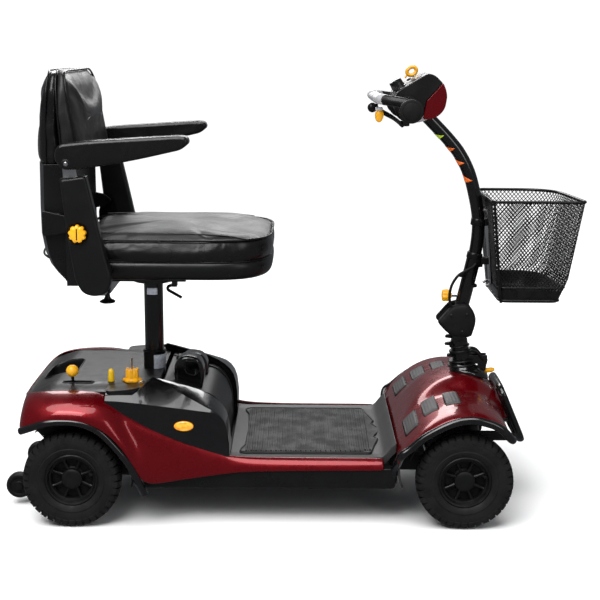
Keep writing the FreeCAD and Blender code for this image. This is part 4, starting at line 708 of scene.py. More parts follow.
# ---------------------------------------------------------------- deck
tray_outline = [(-134, -198), (-134, 198), (206, 198), (238, 198), (238, -198), (206, -198)]


def tray_top(x, y):
    front = smooth((x - 196) / 44.0)
    rear = smooth((-112 - x) / 26.0) * 3.0
    return 146.2 + 34.0 * front ** 1.6 + rear + 3.5 * smooth((abs(y) - 176) / 18.0)


tray = draped("deck_tray", tray_outline, tray_top, 22.0, TRAY, "chassis", "deck_grey", step=12.0, bevel=3.0,
              angle=50)
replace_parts(tray, "floor_pan")
MAT_LINE = [(-100, -173), (-114, -166), (-113, -150), (-104, -120), (-100, 0), (-104, 120), (-113, 150),
            (-114, 166), (-100, 173), (180, 173), (192, 120), (204, 70), (196, 52), (204, 32), (217, 0),
            (204, -32), (196, -52), (206, -70), (194, -120), (184, -173)]
mat_outline = rounded(MAT_LINE, [8, 8, 14, 20, 30, 20, 14, 8, 8, 10, 6, 5, 8, 8, 4, 8, 8, 5, 6, 10], 4)
mat = plate("foot_mat", mat_outline, 146.0, 148.6, MAT, "chassis", "mat_rubber", bevel=0.9, segments=2)
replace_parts(mat, "floor_mat")
ribs = []
x = -98.0
k = 0
while x < 186:
    half = 160 - 8 * (x > 170)
    wide = 1.5 if k % 2 else 2.4
    top = 150.4 if k % 2 else 151.2
    rings = [[(x - wide, y, 148.3), (x - wide * 0.6, y, top), (x + wide * 0.6, y, top), (x + wide, y, 148.3)]
             for y in (-half, half)]
    ribs.append(part_of(rings))
    x += 5.6
    k += 1
joined("mat_ribs", ribs, MAT, "chassis", "mat_rubber", angle=30)
edge = [Vector((x, y, 148.4)) for x, y in rounded([(px * 0.985 + 0.9, py * 0.975) for px, py in MAT_LINE], 6,
                                                  3)]
tube("mat_border", edge + [edge[0], edge[1]], 2.0, MAT, "chassis", "mat_rubber", segs=8)

# ---------------------------------------------------------------- front shroud
HOOD = [(238, 150), (243, 178), (258, 201), (277, 229), (301, 257), (341, 285), (392, 300), (432, 293),
        (462, 274), (487, 252), (505, 226), (520, 190)]
FENDER = [(237, 150), (240, 172), (253, 194), (273, 217), (307, 247), (350, 267), (396, 273), (426, 269),
          (446, 261), (463, 250), (476, 234), (486, 208)]
LIP = [(237, 158), (243, 177), (262, 192), (289, 216), (314, 232), (345, 248), (375, 257), (405, 258),
       (432, 252), (450, 245), (465, 235), (479, 219)]


def front_point(s, y):
    """Point of the front skin: hump in the middle, fender outside it, turned down at its edge."""
    side = 1 if y >= 0 else -1
    wide = abs(y)
    hood, fender, lip = (at([(a, 0, b) for a, b in line], s) for line in (HOOD, FENDER, LIP))
    half = 40 + 26 * (1 - s) + 10 * smooth((0.35 - s) / 0.35)
    share = 1 - smooth((wide - half) / 58.0)
    crown = 1 - 0.10 * (wide / 70.0) ** 2 if wide < 70 else 0.9
    point = fender.lerp(hood, share * crown)
    droop = smooth((wide - 150) / 90.0) * 5.0
    point = point - Vector((0, 0, droop))
    if wide > 226:
        t = (wide - 226) / 34.0
        turn = t * math.pi / 2
        point = Vector((point.x + (lip.x - point.x) * (1 - math.cos(turn)),
                        0, point.z + (lip.z - point.z) * (1 - math.cos(turn))))
        wide = 226 + 34.0 * math.sin(turn)
    return Vector((point.x, side * wide, point.z))


columns = [-260, -255, -250, -244, -236, -226, -205, -180, -150, -128, -112, -98, -84, -70, -56, -42, -28,
           -14]
columns = columns + [0] + [-c for c in reversed(columns)]
rows = [[front_point(k / 44, y) for y in columns] for k in range(45)]
front_skin = loft("front_body_skin", rows, RED, "chassis", "body_red", closed=False, sub=1, thick=3.0)
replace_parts(front_skin, "front_shroud")
inner = [[front_point(s, y) - Vector((0, 0, 9)) for y in (-222, -120, 0, 120, 222)]
         for s in (0.06, 0.2, 0.35, 0.5, 0.7, 0.85, 0.98)]
loft("front_skin_inside", inner, HOLE, "chassis", "trim_black", closed=False, sub=1, thick=1.0)


def front_normal(s, y):
    """Upward normal of the front skin."""
    a = front_point(s + 0.01, y) - front_point(s - 0.01, y)
    b = front_point(s, y + 2) - front_point(s, y - 2)
    up = a.cross(b).normalized()
    return up if up.z > 0 else -up


def s_for(x, y):
    """Share along the front skin where it reaches x."""
    low, high = 0.05, 0.8
    for _ in range(30):
        half = (low + high) / 2
        if front_point(half, y).x < x:
            low = half
        else:
            high = half
    return (low + high) / 2


def patch(name, side, x0, x1, y0, y1):
    """Grey ribbed pad on a black base, laid on the fender."""
    for layer, surface, lift, grow in (("base", PIPING, 0.9, 2.2), ("pad", PATCH, 2.2, 0.0)):
        wide, deep = 10, 15 if layer == "pad" else 8
        grid = []
        for i in range(deep + 1):
            row = []
            for j in range(wide + 1):
                fx = i / deep
                fy = j / wide
                y = y0 - grow + (y1 - y0 + 2 * grow) * fy
                ease = 1 - 0.06 * (2 * abs(fy - 0.5)) ** 6
                x = x0 - grow + (x1 - x0 + 2 * grow) * (0.5 + (fx - 0.5) * ease)
                s = s_for(x, side * y)
                edge_row = i in (0, deep) or j in (0, wide)
                ridge = 0.7 * (i % 3 == 1) if layer == "pad" and not edge_row else 0.0
                rise = lift + ridge - (1.6 if edge_row else 0.0)
                row.append(front_point(s, side * y) + front_normal(s, side * y) * rise)
            grid.append(row)
        piece = loft(f"{name}_{layer}", grid, surface, "chassis", "grip_grey", closed=False, thick=1.2)
    return piece


PATCH_PLACES = [(259, 284, 104, 198), (298, 330, 96, 186), (346, 380, 100, 182)]
for word, side in SIDES:
    for k, (x0, x1, y0, y1) in enumerate(PATCH_PLACES):
        made = patch(f"grip_patch_{word}_{k}", side, x0, x1, y0, y1)
        if side < 0 and k == 0:
            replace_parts(made, "grip_patches")
    lip = [Vector((x, side * 257, z - 5)) for x, z in LIP[1:]]
    foot = [Vector((x, side * y, z)) for x, y, z in ((230, 212, 96), (232, 220, 128), (238, 236, 150))]
    lip = foot + lip + [Vector((486, side * 250, 208))]
    tube(f"front_arch_lip_{word}", spline(lip, 4), (9.0, 9.0), GLOSS, "chassis", "trim_black", segs=16)
    liner = arch_rows((392, 112), 138, 54, 106, 24, (118, 190, 250), side)
    loft(f"front_arch_liner_{word}", liner, HOLE, "chassis", "trim_black", closed=False, thick=2.0)
    drop = [[(x, side * y, z) for y in (120, 170, 214, 226)] for x, z in
            ((252, 88), (246, 110), (244, 135), (246, 160), (254, 182))]
    loft(f"front_liner_{word}", drop, TRAY, "chassis", "trim_black", closed=False, thick=5.0)
toe = [[(x, y, z) for y in (-200, -120, 0, 120, 200)]
       for x, z in ((232, 96), (233, 120), (234, 150), (238, 172))]
loft("toe_board", toe, TRIM, "chassis", "deck_grey", closed=False, thick=2.0, sub=1)

# ---------------------------------------------------------------- bumper
corners = [Vector((537, 0, 148)), Vector((537, 50, 148)), Vector((535, 66, 153)), Vector((527, 72, 172)),
           Vector((495, 72, 246)), Vector((488, 66, 262)), Vector((486, 50, 268)), Vector((486, 0, 269))]
half_hoop = spline(corners, 6)
whole_hoop = half_hoop + [Vector((p.x, -p.y, p.z)) for p in reversed(half_hoop)][1:]
bumper = tube("bumper_hoop", whole_hoop, (8.0, 10.5), GLOSS, "chassis", "bar_black", segs=18)
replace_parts(bumper, "front_bumper")
for word, side in SIDES:
    bar = [Vector((430, side * 56, 160)), Vector((480, side * 57, 160)), Vector((512, side * 60, 158)),
           Vector((533, side * 62, 154))]
    tube(f"bumper_stay_{word}", spline(bar, 5), (5.0, 9.0), TRIM, "chassis", "bar_black", segs=12)
tube("bumper_thin_bar", spline([Vector((518, -70, 196)), Vector((520, 0, 197)), Vector((518, 70, 196))], 6),
     5.0, GLOSS, "chassis", "bar_black", segs=12)

# ---------------------------------------------------------------- seat
def finely_cut(outline, cuts_for):
    """Closed 2-D outline with its long stretches cut into equal parts."""
    fine_line = []
    for a, b in zip(outline, outline[1:] + outline[:1]):
        a, b = Vector(a), Vector(b)
        cuts = cuts_for((b - a).length)
        fine_line += [a.lerp(b, k / cuts) for k in range(cuts)]
    return fine_line


SEAT_REAR, SEAT_FRONT, SEAT_HALF = -468, -41, 196
SEAT_LINE = finely_cut(rounded([(SEAT_REAR, -SEAT_HALF), (SEAT_FRONT, -SEAT_HALF), (SEAT_FRONT, SEAT_HALF),
                                (SEAT_REAR, SEAT_HALF)], [52, 128, 128, 52], 8),
                       lambda length: 24 if length > 200 else 1)


def seat_ring(inset, z):
    """Outline of the seat at a height, drawn in by the inset."""
    middle = Vector(((SEAT_REAR + SEAT_FRONT) / 2, 0))
    half = Vector(((SEAT_FRONT - SEAT_REAR) / 2, SEAT_HALF))
    ring = []
    for p in SEAT_LINE:
        d = p - middle
        ring.append((middle.x + d.x * (1 - inset / half.x), d.y * (1 - inset / half.y), z))
    return ring


pan_rings = [seat_ring(34, 541), seat_ring(14, 543), seat_ring(4, 550), seat_ring(0, 560), seat_ring(-1, 571),
             seat_ring(1, 579), seat_ring(4, 584), seat_ring(9, 585), seat_ring(12, 580), seat_ring(30, 576)]
pan = loft("seat_pan_look", pan_rings, SHELL, "seat", "shell_plastic", sub=1, angle=60)
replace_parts(pan, "seat_shell")


def top_height(inset):
    return 632 + 15 * (1 - math.exp(-inset / 34.0))


boxing = []
for inset, z in ((16, 577), (7, 581), (2, 588), (-1.5, 598), (-2.5, 609), (-1.5, 620), (1.0, 628),
                 (3.5, 632)):
    boxing.append(seat_ring(inset, z))
top_rings = [seat_ring(3.5, 632)] + [seat_ring(i, top_height(i - 3.5))
                                     for i in (6, 11, 18, 28, 42, 62, 88, 118, 150, 178)]
pad_rings = boxing + top_rings[1:]


cushion = loft("seat_cushion_look", pad_rings, [VINYL, VINYL_SIDE], "seat", "vinyl", sub=0, angle=80)
for face in cushion.data.polygons:
    face.material_index = 1 if face.center.z < 0.6325 else 0


def puffed(piece, pressure, cap, held, folds):
    """Cloth under pressure, with how far each point may move capped, then folds where the cover is loose."""
    data = piece.data
    start = [v.co.copy() for v in data.vertices]
    hold = piece.vertex_groups.new(name="hold")
    for v in data.vertices:
        hold.add([v.index], 1.0 if held(v.co) else 0.0, "REPLACE")
    cloth = piece.modifiers.new("cloth", "CLOTH")
    cloth.settings.quality = 5
    cloth.settings.mass = 0.4
    cloth.settings.use_pressure = True
    cloth.settings.uniform_pressure_force = pressure
    cloth.settings.tension_stiffness = 22
    cloth.settings.compression_stiffness = 10
    cloth.settings.bending_stiffness = 1.2
    cloth.settings.effector_weights.gravity = 0.0
    cloth.settings.vertex_group_mass = "hold"
    cloth.collision_settings.use_collision = False
    for step in range(1, 16):
        bpy.context.scene.frame_set(step)
    view = bpy.context.evaluated_depsgraph_get()
    after = [v.co.copy() for v in piece.evaluated_get(view).data.vertices]
    piece.modifiers.remove(cloth)
    bpy.context.scene.frame_set(1)
    for v, a, b in zip(data.vertices, start, after):
        move = b - a
        if move.length > cap * MM:
            move = move.normalized() * cap * MM
        v.co = a + move
    data.update()
    normals = [v.normal.copy() for v in data.vertices]
    for v, n in zip(data.vertices, normals):
        v.co += n * folds(v.co / MM) * MM
    data.update()
    fine = piece.modifiers.new("fine", "SUBSURF")
    fine.levels = 1
    fine.render_levels = 1
    return piece


def seat_folds(p):
    side_wall = smooth((640 - p.z) / 20.0) * smooth((p.z - 578) / 10.0)
    corner = smooth((p.x + 150) / 70.0) * smooth((abs(p.y) - 100) / 80.0)
    front = smooth((p.x + 110) / 50.0)
    wave = noise.noise(Vector((p.x * 0.032, p.y * 0.032, p.z * 0.055)))
    small = noise.noise(Vector((p.x * 0.09, p.y * 0.09, p.z * 0.02 + 5)))
    sag = 1.2 * noise.noise(Vector((p.x * 0.011, p.y * 0.011, 3)))
    return (wave * 2.6 + small * 1.4) * side_wall * (0.35 + 1.1 * corner
                                                     + 0.6 * front) + sag * smooth((p.z - 636) / 8.0)


puffed(cushion, 1.4, 5.0, lambda c: c.z < 0.585, seat_folds)
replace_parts(cushion, "seat_cushion")


def piping(name, line, radius, body):
    return tube(name, line, radius, PIPING, body, "vinyl", segs=10)


def closed(line):
    return list(line) + [line[0], line[1]]


piping("seat_piping_edge", closed([Vector(p) + Vector((0, 0, 0.5)) for p in seat_ring(1.8, 632.0)]), 2.6,
       "seat")
piping("seat_piping_low", closed([Vector(p) for p in seat_ring(4.5, 584.5)]), 2.2, "seat")
for word, side in SIDES:
    run = [(-446, side * 150, 642.5), (-400, side * 158, 642.6), (-300, side * 164, 642.8),
           (-200, side * 166, 642.2), (-140, side * 172, 640), (-112, side * 178, 637),
           (-92, side * 182, 634)]
    piping(f"seat_piping_{word}", spline(run, 8), 2.0, "seat")

# ---------------------------------------------------------------- backrest
def back_outline(z0, z1, half, radii):
    """Closed outline of the backrest seen from the front, as (Y, Z), finely cut along its long edges."""
    outline = rounded([(-half, z0), (half, z0), (half, z1), (-half, z1)], [radii[0], radii[0], radii[1],
                                                                           radii[1]], 8)
    return finely_cut(outline, lambda length: 20 if length > 150 else (9 if length > 80 else 1))


BACK_HALF = 196.0
BACK_Z = (789.0, 990.0)
BACK_LINE = back_outline(BACK_Z[0], BACK_Z[1], BACK_HALF, (16, 66))
REAR_EDGE = [(789, -522), (850, -522), (900, -520), (945, -516), (970, -510), (990, -500)]
FRONT_EDGE = [(789, -446), (835, -451), (880, -459), (920, -466), (955, -472), (990, -481)]


def edge_x(table, z):
    for (z0, x0), (z1, x1) in zip(table, table[1:]):
        if z <= z1:
            return x0 + (x1 - x0) * (z - z0) / (z1 - z0)
    return table[-1][1]


def back_ring(share, inset, bulge=0.0):
    """Ring at a share of the thickness, 0 the rear edge and 1 the front edge, drawn in and pushed out."""
    middle = (BACK_Z[0] + BACK_Z[1]) / 2
    tall = (BACK_Z[1] - BACK_Z[0]) / 2
    ring = []
    for p in BACK_LINE:
        y = p.x * (1 - inset / BACK_HALF)
        z = middle + (p.y - middle) * (1 - inset / tall)
        x = edge_x(REAR_EDGE, z) * (1 - share) + edge_x(FRONT_EDGE, z) * share
        bow = 34.0 * (1 - (y / BACK_HALF) ** 2) * (1 - share)
        ring.append((x + bulge - bow, y, z))
    return ring


front_rings = [back_ring(0.52, 12), back_ring(0.58, 5), back_ring(0.66, 1), back_ring(0.78, -1),
               back_ring(0.9, 0.5), back_ring(1.0, 4)]
front_rings += [back_ring(1.0, i, 13 * (1 - math.exp(-(i - 4) / 20.0)))
                for i in (8, 14, 23, 35, 50, 66, 82, 96)]
front_pad = loft("back_pad_look", front_rings, [VINYL, VINYL_SIDE], "backrest", "vinyl", angle=80)


def back_folds(p):
    wave = noise.noise(Vector((p.x * 0.04, p.y * 0.03, p.z * 0.03)))
    small = noise.noise(Vector((p.x * 0.12, p.y * 0.05, p.z * 0.07 + 9)))
    rim = smooth((abs(p.y) - 140) / 50.0)
    return wave * (0.8 + 2.2 * rim) + small * (0.3 + 1.3 * rim)


def ahead(c):
    return c.x / MM > edge_x(REAR_EDGE, c.z / MM) * 0.45 + edge_x(FRONT_EDGE, c.z / MM) * 0.55


puffed(front_pad, 1.2, 5.0, lambda c: not ahead(c), back_folds)
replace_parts(front_pad, "back_cushion")
rear_rings = [back_ring(0.5, 9), back_ring(0.42, 2), back_ring(0.3, -1), back_ring(0.16, 0),
              back_ring(0.05, 4), back_ring(0.0, 11, -3), back_ring(0.0, 26, -4), back_ring(0.0, 46, -4),
              back_ring(0.0, 70, -4), back_ring(0.0, 95, -4)]
rear_pad = loft("back_cover_look", rear_rings, VINYL_SIDE, "backrest", "vinyl", angle=80)
puffed(rear_pad, 1.0, 4.0, ahead, back_folds)
for name, share, inset in (("front", 0.98, 2.5), ("middle", 0.5, 3.0), ("rear", 0.06, 2.5)):
    piping(f"back_piping_{name}", closed([Vector(p) for p in back_ring(share, inset)]), 2.3, "backrest")

BOW_PLAN = there_and_back([(-524, -196), (-541, -150), (-551, -100), (-556, -45)])
SHELL_SIDE = [(794, 0), (700, -1.5), (640, -1.0), (600, 6), (575, 16), (556, 30), (546, 44)]


def shell_ring(z, draw):
    """Section of the hard lower shell: bowed rear face, flat front face."""
    front = -479.0
    ring = []
    for x, y in [(p.x, p.y) for p in spline([(x, y) for x, y in BOW_PLAN], 4)]:
        ring.append((min(x + draw, front - 6), y, z))
    for y in (190, 170, 120, 60, 0, -60, -120, -170, -190):
        ring.append((front - 0.06 * draw, y, z))
    return ring


shell_rings = [shell_ring(z, draw) for z, draw in SHELL_SIDE]
last = shell_rings[-1]
shell_rings += [[(x, y * 0.97, 542) for x, y, z in last], [(-488 + (x + 488) * 0.4, y * 0.9, 540)
                                                           for x, y, z in last]]
back_panel = loft("back_shell_look", shell_rings, SHELL, "backrest", "shell_plastic", bevel=5.0, segments=4,
                  angle=50)
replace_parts(back_panel, "back_shell")
for word, side in SIDES:
    ear = rounded([(-528, 642), (-528, 698), (-462, 683), (-443, 668), (-462, 653)], 8, 4)
    slab(f"back_ear_{word}", ear, side * 205, side * 211.5, SHELL, "backrest", "shell_plastic", bevel=1.5)
    slab(f"back_ear_root_{word}", rounded([(-528, 645), (-528, 695), (-486, 690), (-486, 650)], 8, 4),
         side * 188, side * 206, SHELL, "backrest", "shell_plastic", bevel=2.0)
for k in range(5):
    z = 590 + k * 40
    rib = [Vector((x - 1.0, y * 0.86, z)) for x, y in BOW_PLAN]
    tube(f"back_rib_{k}", spline(rib, 4), 2.4, SHELL, "backrest", "shell_plastic", segs=8)

# ---------------------------------------------------------------- arms
ARM_KNOB_X, ARM_KNOB_Z = -444, 657
ARM_HINGE_X, ARM_HINGE_Z = -463, 802

for word, side in SIDES:
    sleeve_line = rounded([(-479, 769), (-425, 777), (-408, 700), (-388, 606), (-375, 560), (-386, 529),
                           (-412, 521), (-438, 528), (-453, 556), (-466, 640)],
                          [8, 8, 80, 60, 24, 24, 24, 24, 30, 80], 7)
    sleeve = slab(f"arm_sleeve_{word}", sleeve_line, side * 231, side * 261, ARM, f"arm_bracket_{word}",
                  "dial_black", bevel=8.5, segments=5, angle=55)
    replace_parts(sleeve, f"arm_bracket_{word}")
    recess = turned(f"recess_cutter_{word}", [(0, 0), (23, 0), (25, 20), (0, 20)],
                    (ARM_KNOB_X, side * 256.5, ARM_KNOB_Z), (0, side, 0), HOLE, "chassis", "dial_black",
                    segs=40)
    cut(sleeve, recess, angle=42)
    slab(f"arm_slide_{word}", rounded_rectangle(-412, -394, 519, 537, 2.5), side * 92, side * 234, STEEL,
         f"arm_bracket_{word}", "steel", bevel=1.0)
    cap = rounded([(-481, 763), (-478, 772), (-424, 776), (-424, 768)], 3, 4)
    slab(f"arm_sleeve_cap_{word}", cap, side * 236, side * 256, ARM, f"arm_bracket_{word}", "dial_black",
         bevel=2.5)
    rest_line = rounded([(-481, 842), (-420, 849), (-232, 861), (-214, 859), (-209, 846), (-226, 832),
                         (-330, 808), (-432, 791), (-470, 789), (-489, 812)],
                        [14, 60, 16, 12, 12, 14, 80, 24, 18, 22], 8)
    rest = slab(f"armrest_{word}_look", rest_line, side * 223, side * 269, VINYL_SIDE, f"armrest_{word}",
                "vinyl", bevel=11.0, segments=6, angle=50)
    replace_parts(rest, f"armrest_{word}")
    cut(rest, slab(f"armrest_slot_{word}", [(-520, 760), (-446, 760), (-446, 819), (-520, 819)], side * 239,
                   side * 253, HOLE, f"armrest_{word}", "vinyl"), angle=42)
    turned(f"armrest_screw_{word}", [(0, 2.6), (3.4, 2.2), (4.8, 0.6), (4.8, -1), (0, -1)],
           (ARM_HINGE_X, side * 269.5, ARM_HINGE_Z), (0, side, 0), STEEL, f"armrest_{word}", "steel", segs=24)
    turned(f"armrest_boss_{word}", [(0, 0.4), (9.5, 0.4), (11, -0.6), (11.6, -3), (0, -3)],
           (ARM_HINGE_X, side * 269, ARM_HINGE_Z), (0, side, 0), ARM, f"armrest_{word}", "dial_black",
           segs=36)


def lobed(name, centre, axis, profile, lobes, depth, surface, body, slot, segs=80, **more):
    """Turned shape whose rim is scalloped. depth scales with the radius."""
    rings = turned_rings(profile, (0, 0, 0), axis, segs)
    middle = Vector(centre)
    way = Vector(axis).normalized()
    done = []
    for ring, (r, d) in zip(rings, profile):
        row = []
        for k, p in enumerate(ring):
            out = p - way * d
            share = min(1.0, r / max(q for q, _ in profile)) ** 3
            scale = 1 - depth * share * (0.5 - 0.5 * math.cos(lobes * 2 * math.pi * k / segs)) ** 2
            row.append(middle + way * d + out * scale)
        done.append(row)
    return loft(name, done, surface, body, slot, **more)


for word, side in SIDES:
    profile = [(0, 14.6), (9, 14.6), (14, 14.0), (17.4, 12.0), (18.8, 8.5), (19, 2.0), (17.6, 0.4), (0, 0.4)]
    knob = lobed(f"arm_knob_{word}_look", (ARM_KNOB_X, side * 260, ARM_KNOB_Z), (0, side, 0), profile, 9,
                 0.16, YELLOW, f"arm_knob_{word}", "knob_yellow", angle=34)
    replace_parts(knob, f"arm_knob_{word}")
    slab(f"arm_knob_bar_{word}", rounded_rectangle(-445.2, -442.8, 645, 669, 1), side * 274.2, side * 275,
         HOLE, f"arm_knob_{word}", "dial_black")
    trumpet = [(0, -0.5), (14, -0.5), (17.5, 0.6), (18, 2.6), (15, 5.0), (8.5, 8.0), (5.6, 14), (5.2, 20),
               (6.5, 26), (11, 29.5), (11, 31.5), (4, 31.5), (4, 38), (0, 38)]
    grip = lobed(f"width_knob_{word}_look", (-403, side * 150, 487), (0, 0, 1), trumpet, 5, 0.12, TRIM,
                 f"width_knob_{word}", "dial_black", angle=34)
    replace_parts(grip, f"width_knob_{word}")

# ---------------------------------------------------------------- rear controls
ball = turned("freewheel_ball", [(0.1, -13.5), (4, -12.8), (8, -11.0), (11.5, -7.5), (13.6, -3), (14, 1.0),
                                 (13, 5.6), (10.5, 9.6), (6.5, 12.6), (0.1, 14)], (-488, -140, 327),
              (0, 0, 1), YELLOW, "freewheel_lever", "knob_yellow", segs=40)
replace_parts(ball, "freewheel_lever")
tube("freewheel_stem", [(-486, -140, 230), (-487, -140, 280), (-488, -140, 318)], 3.4, GLOSS,
     "freewheel_lever", "bar_black", segs=16)
button = turned("reset_button_look", [(0, -9), (4.8, -9), (4.8, 1.5), (7.4, 1.8), (7.8, 4), (7.2, 10),
                                      (6.6, 19), (6.3, 24), (5.0, 28.5), (2.6, 30.6), (0, 31)],
                (-403, -130, 299.5), (0, 0, 1), LEMON, "reset_button", "knob_yellow", segs=32)
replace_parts(button, "reset_button")
LOCK_X, LOCK_Y = -356, -128
star = [(0, 0), (20.5, 0), (22, 1.6), (21.6, 4.4), (18, 6.6), (14.8, 8.6), (14.2, 24), (12.8, 26.4),
        (0, 26.8)]
lock = lobed("lock_knob_look", (LOCK_X, LOCK_Y, 302.0), (0, 0, 1), star, 6, 0.20, YELLOW, "section_lock_knob",
             "knob_yellow", angle=36)
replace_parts(lock, "section_lock_knob")
for k in range(6):
    turn = 2 * math.pi * (k + 0.5) / 6
    x, y = LOCK_X + 12.4 * math.cos(turn), LOCK_Y + 12.4 * math.sin(turn)
    plate(f"lock_knob_lug_{k}", rounded_rectangle(x - 3.0, x + 3.0, y - 3.0, y + 3.0, 1.6, 3), 306, 330.5,
          YELLOW, "section_lock_knob", "knob_yellow", bevel=0.8)
tube("lock_knob_pin", [(LOCK_X, LOCK_Y, z) for z in (326, 340, 355)], 1.7, BRASS, "section_lock_knob",
     "knob_yellow", segs=12)
socket = [(0, 0.4), (3.4, 0.4), (3.6, 1.6), (7.6, 1.6), (9.4, 0.9), (10, -1.5), (0, -1.5)]
turned("charge_socket", socket, (-338, -138, 303.0), (0, 0, 1), BRASS, "chassis", "drive_grey", segs=36)

# ---------------------------------------------------------------- seat post details
POST_X = -320


def wrap_label(name, centre, radius, a0, a1, z0, z1, surface, body, slot):
    """Label bent round an upright post, between two angles in degrees."""
    grid = []
    for i in range(5):
        z = z0 + (z1 - z0) * i / 4
        grid.append([(centre[0] + radius * math.cos(math.radians(a0 + (a1 - a0) * j / 10)),
                      centre[1] + radius * math.sin(math.radians(a0 + (a1 - a0) * j / 10)), z)
                     for j in range(11)])
    return loft(name, grid, surface, body, slot, closed=False, thick=0.4)


wrap_label("post_sticker_low", (POST_X, 0), 26.1, -88, -8, 285, 335, LABEL, "chassis", "frame_steel")
wrap_label("post_sticker_high", (POST_X, 0), 22.5, -125, -60, 478, 494, LABEL, "seat_post", "bar_black")
turned("post_collar", [(25.8, 0), (26.6, 0), (27.2, 1), (27.2, 3), (26.4, 4), (25.8, 4), (25.8, 0)],
       (POST_X, 0, 338), (0, 0, 1), GLOSS, "chassis", "frame_steel", segs=48, caps=False)
coil = [Vector((-268 + 4.4 * math.cos(t), -50 + 0.9 * t * 0.35, 507 + 4.4 * math.sin(t)))
        for t in (0.5 * k for k in range(64))]
tube("lever_spring", coil, 0.8, STEEL, "seat", "steel", segs=6)

# ---------------------------------------------------------------- steering column
LEAN = math.radians(8)
UP = Vector((-math.sin(LEAN), 0, math.cos(LEAN)))
BASE = Vector((431.6, 0, 108))


def on_axis(s):
    return BASE + UP * s


boot = []
for f, lift in ((1.0, -2.0), (1.0, 2.5), (0.95, 5.0), (0.86, 6.5), (0.78, 8.0), (0.70, 11.5), (0.62, 15.5),
                (0.55, 18.0)):
    ring = []
    grown = (f - 0.55) / 0.45
    for turn in around(56):
        x = 403 + grown * 18 + (27 + grown * 19) * math.cos(turn)
        y = (27 + grown * 17) * math.sin(turn)
        ground = front_point(s_for(x, y), y).z
        ring.append((x - 0.14 * lift, y, ground + (299 - ground) * (0.35 if f == 1.0 else 0.75) + lift))
    boot.append(ring)
boot_piece = loft("column_boot", boot, GLOSS, "chassis", "boot_rubber", caps=False, sub=1, thick=1.5,
                  offset=-1)
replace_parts(boot_piece, "tiller_boot")
for s, r, tall in ((207, 33, 5), (217, 30, 4), (240, 26, 6), (252, 24, 4)):
    profile = shut(there_and_back([(20.3, -tall / 2), (r - 1.2, -tall / 2), (r, -tall / 2 + 1.2)]))
    turned(f"column_ring_{s}", profile, on_axis(s), UP, TRIM, "steering_column", "bar_black", segs=48,
           caps=False)
for k, (s, size) in enumerate(((228, 9), (256, 11), (274, 8))):
    p = on_axis(s) - Vector((24, 0, 0))
    slab(f"column_tab_{k}", rounded([(p.x - size, p.z - 3), (p.x - size + 2, p.z + 3), (p.x + 8, p.z + 5),
                                     (p.x + 8, p.z - 5)], 2, 4), -5, 5, TRIM, "steering_column", "bar_black",
         bevel=1.2)
cover_line = [(342, 420), (352, 434), (369, 453), (386, 460), (409, 460), (424, 441), (428, 420), (422, 395),
              (415, 385), (380, 385), (362, 396), (350, 408)]
for word, side in SIDES:
    outline = [(p.x, p.y) for p in spline([(x, z) for x, z in cover_line], 5, closed=True)]
    middle_x, middle_z = 388, 421
    rings = []
    for y, f in ((18.2, 0.98), (20, 1.01), (26, 1.02), (31, 0.99), (34.5, 0.93), (36.6, 0.82), (37.6, 0.62),
                 (38.0, 0.35), (38.1, 0.08)):
        rings.append([(middle_x + (x - middle_x) * f, side * y, middle_z + (z - middle_z) * f)
                      for x, z in outline])
    loft(f"pivot_cover_{word}", rings, RUBBER, "steering_column", "boot_rubber", sub=1)
    for k, (x, z) in enumerate(((371, 436), (407, 438), (398, 397))):
        turned(f"pivot_screw_{word}_{k}", [(0, 1.2), (3.2, 1.0), (4.2, 0), (4.2, -1.5), (0, -1.5)],
               (x, side * 37.4, z), (0, side, 0), TRIM, "steering_column", "bar_black", segs=18)

# latch
latch = slab("latch_block", rounded([(441, 299), (441, 312), (446, 332), (463, 332), (461, 312), (459, 296)],
                                    [5, 6, 8, 8, 6, 5], 5), -8.5, 8.5, GLOSS, "latch", "bar_black", bevel=2.5,
             segments=4)
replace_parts(latch, "tiller_latch")
turned("latch_eye", there_and_back([(0, -10), (7.0, -10), (8.0, -9)]), (455, 0, 324), (0, 1, 0), TRIM,
       "latch", "bar_black", segs=30)
tip = spline([(457, 0, 297), (464, 0, 297), (472, 0, 298), (481, 0, 299.5)], 4)
tube("latch_tip", tip, lambda t: 5.8 * (1 - 0.4 * max(0, t - 0.75) / 0.25), YELLOW, "latch", "knob_yellow",
     segs=16)
hanger = spline([(414, 0, 346), (428, 0, 347), (438, 0, 343), (446, 0, 334), (453, 0, 326)], 5)
for word, side in SIDES:
    tube(f"latch_hanger_{word}", [p + Vector((0, side * 13.5, 0)) for p in hanger], (4.4, 3.0), TRIM,
         "steering_column", "bar_black", segs=12)

# ---------------------------------------------------------------- tiller
STEM = [(404, 0, 486), (415, 0, 530), (425, 0, 577), (430, 0, 625), (428, 0, 668), (417, 0, 720),
        (403, 0, 765), (381, 0, 806), (355, 0, 838), (326, 0, 868), (306, 0, 888)]
stem_line = spline(STEM, 7)
stem = tube("tiller_stem", stem_line, (14.8, 14.0), GLOSS, "tiller", "bar_black", segs=28)
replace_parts(stem, "tiller_tube")
sleeve_line = spline([(394.5, 0, 440), (402, 0, 470), (413, 0, 520), (424.5, 0, 574)], 6)
tube("tiller_sleeve", sleeve_line, lambda t: 16.6 - 1.4 * smooth((0.25 - t) / 0.25), GLOSS, "tiller",
     "bar_black", segs=28)
along = (sleeve_line[-1] - sleeve_line[-3]).normalized()
turned("tiller_collar", [(13.6, -8), (17.4, -8), (18.2, -6.8), (18.2, 5), (17.2, 6.6), (13.6, 7.2),
                         (13.6, -8)], (424.2, 0, 572), along, TRIM, "tiller", "bar_black", segs=48,
       caps=False)
